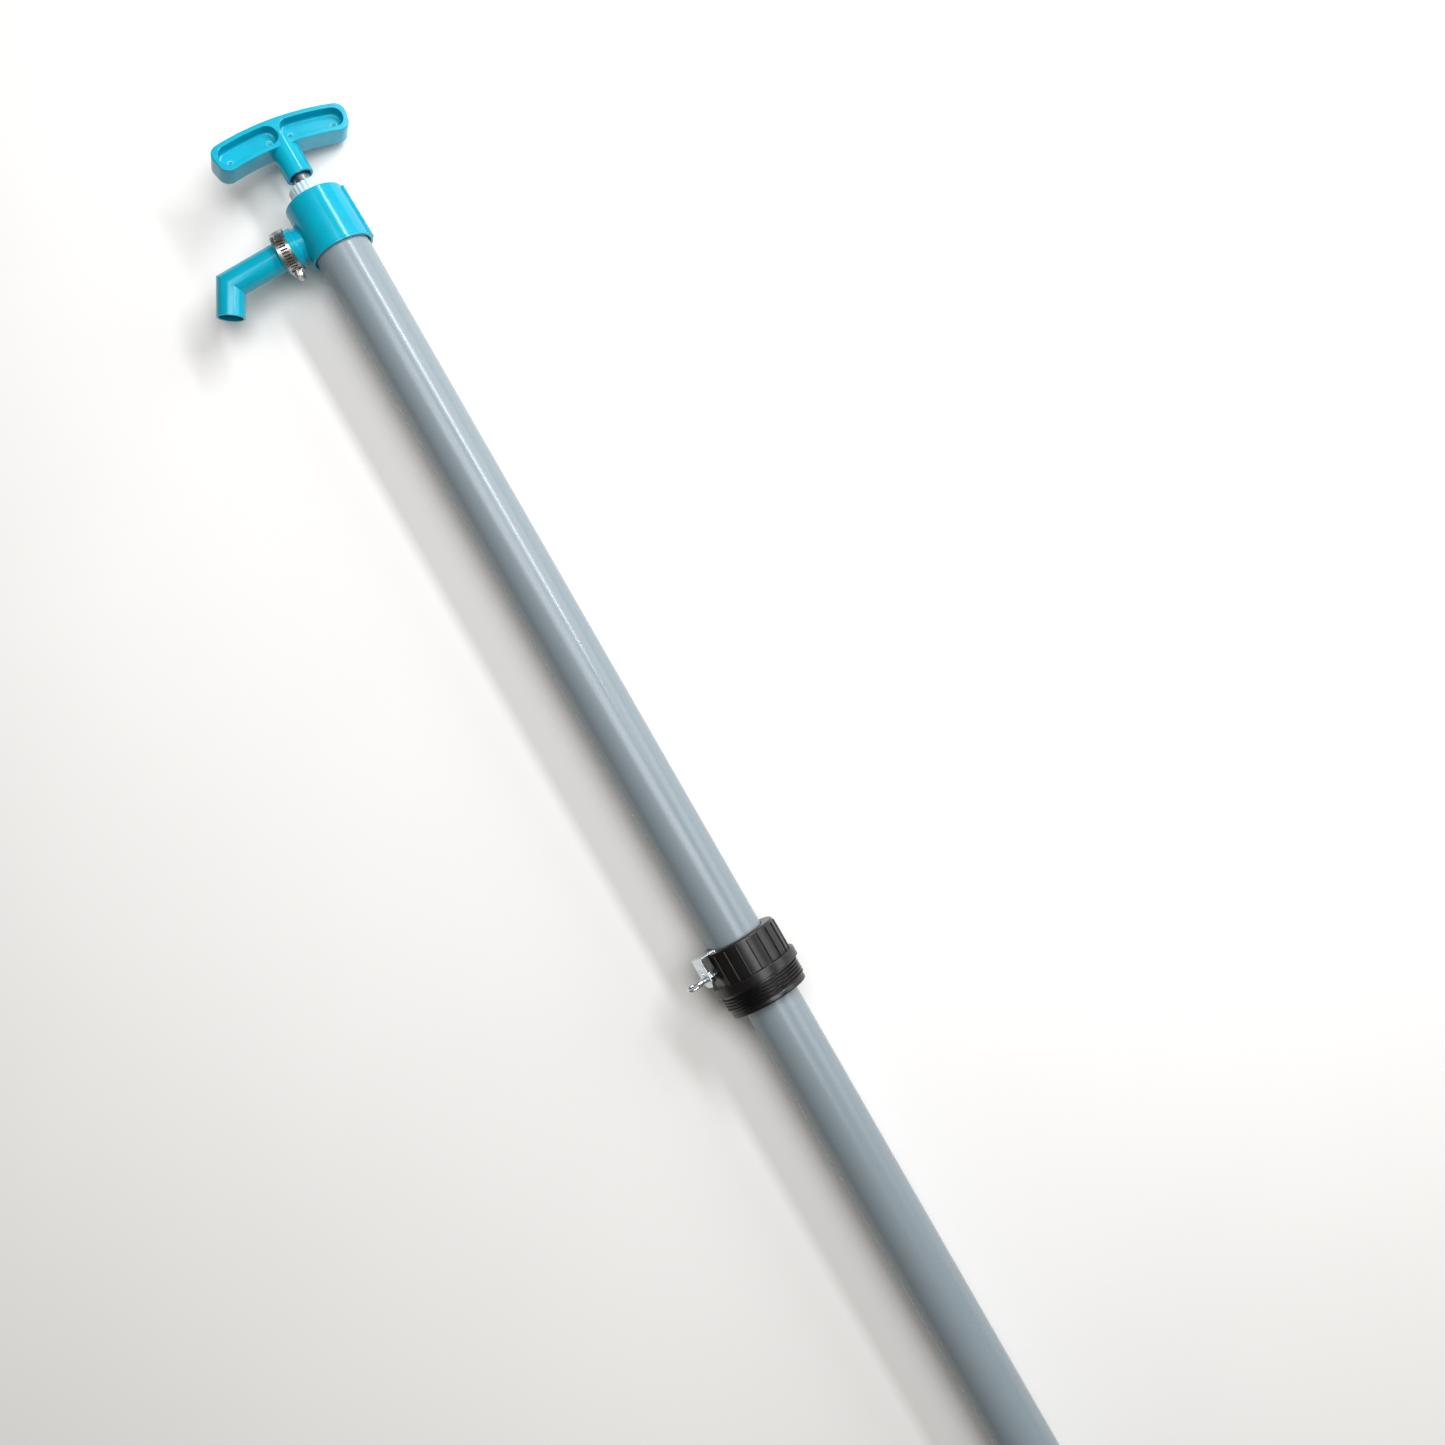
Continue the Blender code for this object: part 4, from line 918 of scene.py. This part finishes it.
# --- strap, nut and lock screw ------------------------------------------------
def make_strap():
    """Sheet bent over the adapter's rim, with the screw's hole and a pilot hole."""
    hook_inner = ADAPTER_BORE + GAP
    hook_outer = hook_inner + STRAP_THICKNESS
    leg_inner = STRAP_REACH - STRAP_THICKNESS
    outline = rounded([
        (hook_inner, -STRAP_HOOK),
        (hook_outer, -STRAP_HOOK),
        (hook_outer, 0, HAIR),
        (leg_inner, 0, STRAP_BEND),
        (leg_inner, -STRAP_DROP),
        (STRAP_REACH, -STRAP_DROP),
        (STRAP_REACH, STRAP_THICKNESS, STRAP_BEND + STRAP_THICKNESS),
        (hook_inner, STRAP_THICKNESS, STRAP_HOOK_BEND),
    ])
    shape = slab(outline, -STRAP_WIDTH / 2, STRAP_WIDTH / 2)
    corners = [
        edge for edge in shape.edges
        if all(abs(vert.co.z + STRAP_DROP) < GAP for vert in edge.verts)
        and abs(edge.verts[0].co.y - edge.verts[1].co.y) < GAP
    ]
    bevelled(shape, corners, STRAP_CORNER, 8)
    lock_turn = at_height(LOCK_Z - ADAPTER_TOP - GAP) @ ALONG_X
    pilot = at_height(LOCK_Z - ADAPTER_TOP - GAP + STRAP_HOLE_OFFSET) @ ALONG_X
    near = leg_inner - STRAP_THICKNESS
    shape = combined(
        shape,
        ("DIFFERENCE", placed(rod_shape(LOCK_RADIUS + GAP, near, BIG), lock_turn)),
        ("DIFFERENCE", placed(rod_shape(STRAP_HOLE_RADIUS, near, BIG, 32), pilot)),
    )
    place = at_height(ADAPTER_TOP + GAP) @ turned_by(STRAP_ANGLE)
    softened(piece("clamp_strap", shape, ZINC, "adapter", place), 0.00018)


def hex_prism(flats, low, high, chamfer):
    """A hexagon with its corners chamfered by a cone at both ends."""
    shape = bmesh.new()
    corner = flats / 2 / math.cos(math.pi / 6)
    bmesh.ops.create_cone(
        shape, cap_ends=True, segments=6, radius1=corner, radius2=corner, depth=high - low
    )
    bmesh.ops.translate(shape, vec=(0, 0, (low + high) / 2), verts=shape.verts)
    round_off = turned([
        (0, low),
        (corner - chamfer, low),
        (corner + GAP, low + chamfer),
        (corner + GAP, high - chamfer),
        (corner - chamfer, high),
        (0, high),
    ], SMALL_FINE)
    return combined(shape, ("INTERSECT", round_off))


LOCK_PLACE = at_height(LOCK_Z) @ turned_by(STRAP_ANGLE) @ ALONG_X


def make_strap_nut():
    high = STRAP_REACH - STRAP_THICKNESS - GAP
    low = high - LOCK_NUT_LENGTH
    hole = rod_shape(LOCK_RADIUS + GAP, low - GAP, high + GAP)
    shape = combined(hex_prism(LOCK_NUT_FLATS, low, high, BLUNT), ("DIFFERENCE", hole))
    softened(piece("strap_nut", shape, ZINC, "adapter", LOCK_PLACE), 0.00012)


def make_lock_screw():
    """A threaded shank with a ring of round wire for its head."""
    low = TUBE_RADIUS + 2 * GAP + PAD_THICKNESS
    end = LOCK_SHANK_END
    root = LOCK_RADIUS - LOCK_THREAD_DEPTH
    threaded = STRAP_REACH + LOCK_THREAD_PAST
    profile = [(0, low), (root - EDGE, low)]
    profile += rows(root, low + EDGE, threaded, LOCK_THREAD_PITCH / 8)
    profile += rounded([
        (root, threaded),
        (LOCK_RADIUS, threaded + CRISP),
        (LOCK_RADIUS, end, EDGE),
        (0, end),
    ])
    shank = turned(profile, SCREW_FINE)
    first = low + LOCK_THREAD_PITCH
    turns = math.floor((threaded - first) / LOCK_THREAD_PITCH)
    cut_thread(shank, root, LOCK_THREAD_DEPTH, first, LOCK_THREAD_PITCH, turns, root - THREAD_SKIN)

    eye = bmesh.new()
    wire = bmesh.ops.create_circle(eye, radius=LOCK_WIRE_RADIUS, segments=20)["verts"]
    reach = LOCK_HEAD_WIDTH / 2 - LOCK_WIRE_RADIUS
    bmesh.ops.translate(eye, vec=(reach, 0, 0), verts=wire)
    bmesh.ops.spin(
        eye, geom=list(eye.verts) + list(eye.edges), cent=(0, 0, 0), axis=(0, 1, 0),
        angle=math.tau, steps=64, use_merge=True,
    )
    bmesh.ops.remove_doubles(eye, verts=eye.verts, dist=1e-6)
    bmesh.ops.recalc_face_normals(eye, faces=eye.faces)
    length = LOCK_END - end + LOCK_WIRE_RADIUS * 2
    bmesh.ops.scale(eye, vec=(1, 1, length / LOCK_HEAD_WIDTH), verts=eye.verts)
    bmesh.ops.translate(eye, vec=(0, 0, LOCK_END - length / 2), verts=eye.verts)
    shape = combined(shank, ("UNION", placed(eye, turned_by(LOCK_HEAD_TURN))))
    piece("lock_screw", shape, ZINC, "lock_screw", LOCK_PLACE, 50.0)


# --- foot valve ---------------------------------------------------------------
def make_foot():
    """A socket for the tube, the ball's seat and a skirt with four intake slots."""
    profile = rounded([
        (FOOT_SKIRT_RADIUS, 0, BLUNT),
        (FOOT_RADIUS, 0, CAP_EDGE),
        (FOOT_RADIUS, FOOT_TOP, CAP_EDGE),
        (TUBE_RADIUS + GAP, FOOT_TOP, EDGE),
        (TUBE_RADIUS + GAP, FOOT_FLOOR_TOP, CRISP),
        (SEAT_RADIUS + SEAT_CHAMFER, FOOT_FLOOR_TOP),
        (SEAT_RADIUS, FOOT_FLOOR_TOP - SEAT_CHAMFER),
        (SEAT_RADIUS, FOOT_SKIRT, SOFT),
        (FOOT_SKIRT_RADIUS, FOOT_SKIRT, FOOT_SKIRT_FILLET),
    ])
    half = FOOT_SLOT_WIDTH / 2
    along = box_shape((-BIG, -half, -BIG), (BIG, half, FOOT_SLOT_HEIGHT))
    across = box_shape((-half, -BIG, -BIG), (half, BIG, FOOT_SLOT_HEIGHT))
    for tool in (along, across):
        top = [edge for edge in tool.edges if all(vert.co.z > 0 for vert in edge.verts)]
        longest = max(edge.calc_length() for edge in top)
        lengthwise = [edge for edge in top if edge.calc_length() > longest * NEARLY]
        bevelled(tool, lengthwise, FOOT_SLOT_ROUNDING)
    shape = combined(turned(profile), ("DIFFERENCE", along), ("DIFFERENCE", across))
    softened(piece("foot_body", shape, BLACK, "barrel"), 0.0003)


def make_ball():
    ball = bmesh.new()
    bmesh.ops.create_uvsphere(
        ball, u_segments=SMALL_FINE, v_segments=SMALL_FINE // 2, radius=BALL_RADIUS
    )
    piece("foot_ball", ball, STEEL, "foot_ball", at_height(BALL_Z), 60.0)


# --- spout --------------------------------------------------------------------
# In the spout's frame z runs out along the outlet, x towards the foot and y up.
SPOUT_TURN = Matrix(((0, 0, 1, 0), (0, 1, 0, 0), (-1, 0, 0, 0), (0, 0, 0, 1)))
SPOUT_PLACE = at_height(OUTLET_Z) @ SPOUT_TURN


def bend_spout(vert):
    """Mitre the straight pipe at its elbow and swing the tip towards x."""
    past = vert.co.z - SPOUT_REACH
    if abs(past) < 1e-6:
        vert.co.z -= math.tan(SPOUT_BEND / 2) * vert.co.x
    elif past > 0:
        elbow = Vector((0, 0, SPOUT_REACH))
        vert.co = elbow + Matrix.Rotation(SPOUT_BEND, 3, "Y") @ (vert.co - elbow)


def make_spout():
    """A slit cup on the nozzle, then a tapered pipe mitred at its elbow."""
    cup_inner = NOZZLE_RADIUS + GAP
    cup_outer = cup_inner + CUP_WALL
    cup_start = COLLAR_END + GAP
    cup_end = cup_start + CUP_LENGTH
    mouth = SPOUT_REACH + SPOUT_LEG
    floor = COLLAR_END + NOZZLE_LENGTH + GAP
    elbow_radius = (SPOUT_RADIUS + SPOUT_TIP_RADIUS) / 2
    profile = rounded([
        (cup_inner, cup_start, EDGE),
        (cup_outer, cup_start, EDGE),
        (cup_outer, cup_end, CUP_EDGE),
        (SPOUT_RADIUS, cup_end, CUP_FILLET),
        (elbow_radius, SPOUT_REACH),
        (SPOUT_TIP_RADIUS, mouth, SPOUT_LIP),
        (SPOUT_TIP_RADIUS - SPOUT_WALL, mouth, SPOUT_LIP),
        (elbow_radius - SPOUT_WALL, SPOUT_REACH),
        (SPOUT_RADIUS - SPOUT_WALL, floor, SOFT),
        (cup_inner, floor),
    ])
    shape = turned(profile)
    for vert in shape.verts:
        bend_spout(vert)
    half = CUP_SLOT / 2
    slot_end = floor - CAP_EDGE
    slot_start = cup_start - CUP_LENGTH
    shape = combined(
        shape,
        ("DIFFERENCE", box_shape((-BIG, -half, slot_start), (BIG, half, slot_end))),
        ("DIFFERENCE", box_shape((-half, -BIG, slot_start), (half, BIG, slot_end))),
    )
    evened(piece("spout", shape, TEAL, "spout", SPOUT_PLACE, 25.0))


# --- worm-drive clamp ---------------------------------------------------------
def band_strip(slots, radius, start, loose_end):
    """A slotted strip of the clamp's band, rolled to a radius from an angle on.

    It starts as a flat grid: four columns to a slot, two of them the slot, and three rows."""
    pitch = math.tau * BAND_OUTER / BAND_SLOTS
    land = (pitch - BAND_SLOT_WIDTH) / 2
    stops = (0, land, land + BAND_SLOT_WIDTH / 2, land + BAND_SLOT_WIDTH)
    levels = (-BAND_WIDTH / 2, -BAND_SLOT_LENGTH / 2, BAND_SLOT_LENGTH / 2, BAND_WIDTH / 2)
    columns = slots * 4
    strip = bmesh.new()
    bmesh.ops.create_grid(strip, x_segments=columns, y_segments=3, size=0.5)
    windows = []
    for face in strip.faces:
        middle = face.calc_center_median()
        cell = int((middle.x + 0.5) * columns)
        slotted = cell % 4 in (1, 2) and not (loose_end and cell > columns - 4 * TAIL_PLAIN)
        if slotted and abs(middle.y) < 1 / 6:
            windows.append(face)
    bmesh.ops.delete(strip, geom=windows, context="FACES")
    for vert in strip.verts:
        column = round((vert.co.x + 0.5) * columns)
        row = round((vert.co.y + 0.5) * 3)
        vert.co = Vector((pitch * (column // 4) + stops[column % 4], levels[row], 0))
    length = pitch * slots
    rounding = {"segments": 3, "profile": 0.5, "affect": "VERTICES", "material": -1}
    corners = [
        vert for vert in strip.verts
        if abs(abs(vert.co.y) - BAND_SLOT_LENGTH / 2) < 1e-6 and len(vert.link_faces) == 3
    ]
    bmesh.ops.bevel(strip, geom=corners, offset=BAND_SLOT_WIDTH * SLOT_ROUNDING, **rounding)
    if loose_end:
        ends = [
            vert for vert in strip.verts
            if vert.co.x > length - 1e-6 and abs(vert.co.y) > BAND_WIDTH * 0.49
        ]
        bmesh.ops.bevel(strip, geom=ends, offset=land * TAIL_ROUNDING, **rounding)
    for vert in strip.verts:
        turn = start + (vert.co.x + BAND_SLANT * vert.co.y) / BAND_OUTER
        vert.co = Vector((radius * math.cos(turn), radius * math.sin(turn), vert.co.y))
    bmesh.ops.remove_doubles(strip, verts=strip.verts, dist=1e-5)
    bmesh.ops.recalc_face_normals(strip, faces=strip.faces)
    return strip


def make_band():
    """A closed liner in a dark steel that paints the shade in the slots, the slotted band round it
    and the band's free end on top.
    """
    half = BAND_WIDTH / 2
    outer = BAND_OUTER - BAND_THICKNESS - LINER_GAP
    liner = turned([(BAND_INNER, -half), (outer, -half), (outer, half), (BAND_INNER, half)])
    # the liner takes the dark steel, painted shade showing through the slots
    for face in liner.faces:
        face.material_index = 1
    slotted = band_strip(BAND_SLOTS, BAND_OUTER - BAND_THICKNESS / 2, 0.0, False)
    tail = band_strip(TAIL_SLOTS, BAND_OUTER + TAIL_PROUD / 2, TAIL_START, True)
    shape = joined(liner, thickened(slotted, BAND_THICKNESS))
    joined(shape, thickened(tail, BAND_THICKNESS))
    place = SPOUT_PLACE @ at_height(BAND_MIDDLE)
    band = piece("clamp_band", shape, STEEL, "spout", place)
    band.data.materials.append(SLOT_SHADE_STEEL)
    softened(band, BAND_SOFTENING, 1, 60.0)


WORM_PLACE = SPOUT_PLACE @ Matrix.Translation((WORM_AXIS, 0, BAND_MIDDLE)) @ ALONG_Y


def make_housing():
    """A stamped saddle: two flanges on the band and an arch over the worm."""
    arch = WORM_RADIUS + HOUSING_ROOM
    inside = arch - HOUSING_WALL
    half = HOUSING_WIDTH / 2
    low = -arch
    foot = low + HOUSING_WALL
    outline = [(-half, low), (-half, foot)]
    outline += [(-arch - EDGE, foot), (-arch, foot + 2 * EDGE)]
    outline += arc((0, 0), arch, math.pi, 0, ARCH_FACETS)
    outline += [(arch, foot + 2 * EDGE), (arch + EDGE, foot)]
    outline += [(half, foot), (half, low), (inside, low)]
    outline += arc((0, 0), inside, 0, math.pi, ARCH_FACETS)
    outline += [(-inside, low)]
    # in the worm's own frame x is out from the band, y across it and z along the worm
    upright = Matrix(((0, 0, 1, 0), (1, 0, 0, 0), (0, 1, 0, 0), (0, 0, 0, 1)))
    shape = slab(outline, -HOUSING_LENGTH / 2, HOUSING_LENGTH / 2)
    place = WORM_PLACE @ upright
    softened(piece("clamp_housing", shape, STEEL, "spout", place), 0.00015)


def make_worm():
    """The threaded shaft, a flange and a slotted hexagon head."""
    half = HOUSING_LENGTH / 2 + GAP
    root = WORM_RADIUS - WORM_DEPTH
    profile = [(0, -half)] + rows(root, -half, half, WORM_PITCH / 10) + [(0, half)]
    shaft = turned(profile, SCREW_FINE)
    turns = math.floor(2 * half / WORM_PITCH) - 1
    first = -half + WORM_PITCH * 0.6
    cut_thread(shaft, root, WORM_DEPTH, first, WORM_PITCH, turns, root - THREAD_SKIN)
    top = half + WORM_HEAD_LENGTH
    flange = turned(rounded([
        (0, half - GAP / 2),
        (WORM_FLANGE_RADIUS, half - GAP / 2, HAIR),
        (WORM_FLANGE_RADIUS, half + WORM_FLANGE, HAIR),
        (0, half + WORM_FLANGE),
    ]), SCREW_FINE)
    head = hex_prism(WORM_HEAD_FLATS, half, top, EDGE)
    wide = WORM_SLOT / 2
    slot = box_shape((-BIG, -wide, top - WORM_SLOT_DEPTH), (BIG, wide, top + BIG))
    shape = combined(shaft, ("UNION", flange), ("UNION", head), ("DIFFERENCE", slot))
    worm = piece("clamp_worm", shape, STEEL, "clamp_worm", WORM_PLACE, 40.0)
    softened(worm, 0.00006)


# --- stage, light and camera --------------------------------------------------
# name, place along the pump from the cap's rim, (distance to its side, height), place along
# the pump that it is aimed at, size, watts and colour
STUDIO_LIGHTS = (
    ("top", -0.20, (0.42, 1.60), -0.40, (1.6, 0.8), 23.0, (0.99, 0.99, 1.0)),
    ("key", 0.28, (1.05, 1.05), 0.28, (1.0, 0.14), 15.0, (0.97, 0.99, 1.0)),
    ("side", -0.20, (2.40, 0.95), -0.40, (2.4, 1.2), 27.0, (0.98, 0.99, 1.0)),
)
WORLD_TINT = (1.0, 0.88, 0.70, 1.0)
WORLD_STRENGTH = 0.12
BACKDROP_TINT = (0.86, 0.87, 0.88, 1.0)
CAMERA_BACK = 0.4154        # from the cap's rim towards the foot
CAMERA_SIDE = 0.0664
CAMERA_HEIGHT = 1.08        # above the pump's axis
CAMERA_TURN = math.radians(-119.8)
CAMERA_LENS = 38.6          # mm, on a sensor 36 mm wide


def make_floor():
    shape = bmesh.new()
    bmesh.ops.create_grid(shape, x_segments=8, y_segments=8, size=4.0)
    mesh = bpy.data.meshes.new("floor")
    shape.to_mesh(mesh)
    shape.free()
    floor = bpy.data.objects.new("floor", mesh)
    bpy.context.scene.collection.objects.link(floor)
    paper = finish(
        "floor_paper", (0.86, 0.855, 0.845), (0.885, 0.88, 0.87), 3, (0.75, 0.85), 400, 0.00002,
    )
    mesh.materials.append(paper)


def area_light(name, spot, aim, size, power, colour):
    lamp = bpy.data.lights.new(name, "AREA")
    lamp.shape = "RECTANGLE"
    lamp.size = size[0]
    lamp.size_y = size[1]
    lamp.energy = power
    lamp.color = colour
    made = bpy.data.objects.new(name, lamp)
    bpy.context.scene.collection.objects.link(made)
    made.location = spot
    made.rotation_euler = (Vector(aim) - Vector(spot)).to_track_quat("-Z", "Y").to_euler()


def make_camera():
    """Straight down over the pump, turned so that it lies across the picture."""
    lens = bpy.data.cameras.new("camera")
    lens.sensor_width = 36.0
    lens.lens = CAMERA_LENS
    made = bpy.data.objects.new("camera", lens)
    bpy.context.scene.collection.objects.link(made)
    along = FOOT_END + CAP_BOTTOM - CAMERA_BACK
    made.location = (along, AXIS_Y - CAMERA_SIDE, AXIS_Z + CAMERA_HEIGHT)
    made.rotation_euler = (0, 0, CAMERA_TURN)
    bpy.context.scene.camera = made


def make_world():
    """Dim warm light from all round; the camera sees a pale backdrop instead."""
    world = bpy.data.worlds.new("studio")
    world.use_nodes = True
    nodes = world.node_tree.nodes
    link = world.node_tree.links.new
    light = nodes["Background"]
    light.inputs["Color"].default_value = WORLD_TINT
    light.inputs["Strength"].default_value = WORLD_STRENGTH
    backdrop = nodes.new("ShaderNodeBackground")
    backdrop.inputs["Color"].default_value = BACKDROP_TINT
    rays = nodes.new("ShaderNodeLightPath")
    either = nodes.new("ShaderNodeMixShader")
    link(rays.outputs["Is Camera Ray"], either.inputs["Fac"])
    link(light.outputs["Background"], either.inputs[1])
    link(backdrop.outputs["Background"], either.inputs[2])
    link(either.outputs["Shader"], nodes["World Output"].inputs["Surface"])
    bpy.context.scene.world = world


def make_studio():
    """A broad top light, a narrow one for the highlight and a wide one from the side."""
    make_floor()
    make_camera()
    make_world()
    head = FOOT_END + CAP_BOTTOM
    for name, along, spot, aim, size, power, colour in STUDIO_LIGHTS:
        place = (head + along, AXIS_Y - spot[0], spot[1])
        area_light(name, place, (head + aim, AXIS_Y, 0.0), size, power, colour)
    bpy.context.scene.view_settings.view_transform = "Standard"


# --- the whole pump -----------------------------------------------------------
make_studio()
make_tube()
make_cap()
make_gland_nut()
make_rod()
make_handle()
make_adapter()
make_strap()
make_strap_nut()
make_lock_screw()
make_foot()
make_ball()
make_spout()
make_band()
make_housing()
make_worm()

for row in frame["record"]["subparts"]:
    for holder in frame["nodes"][row["node"]].material_slots:
        holder.material = CAD_FINISHES[row["material_slot"]]
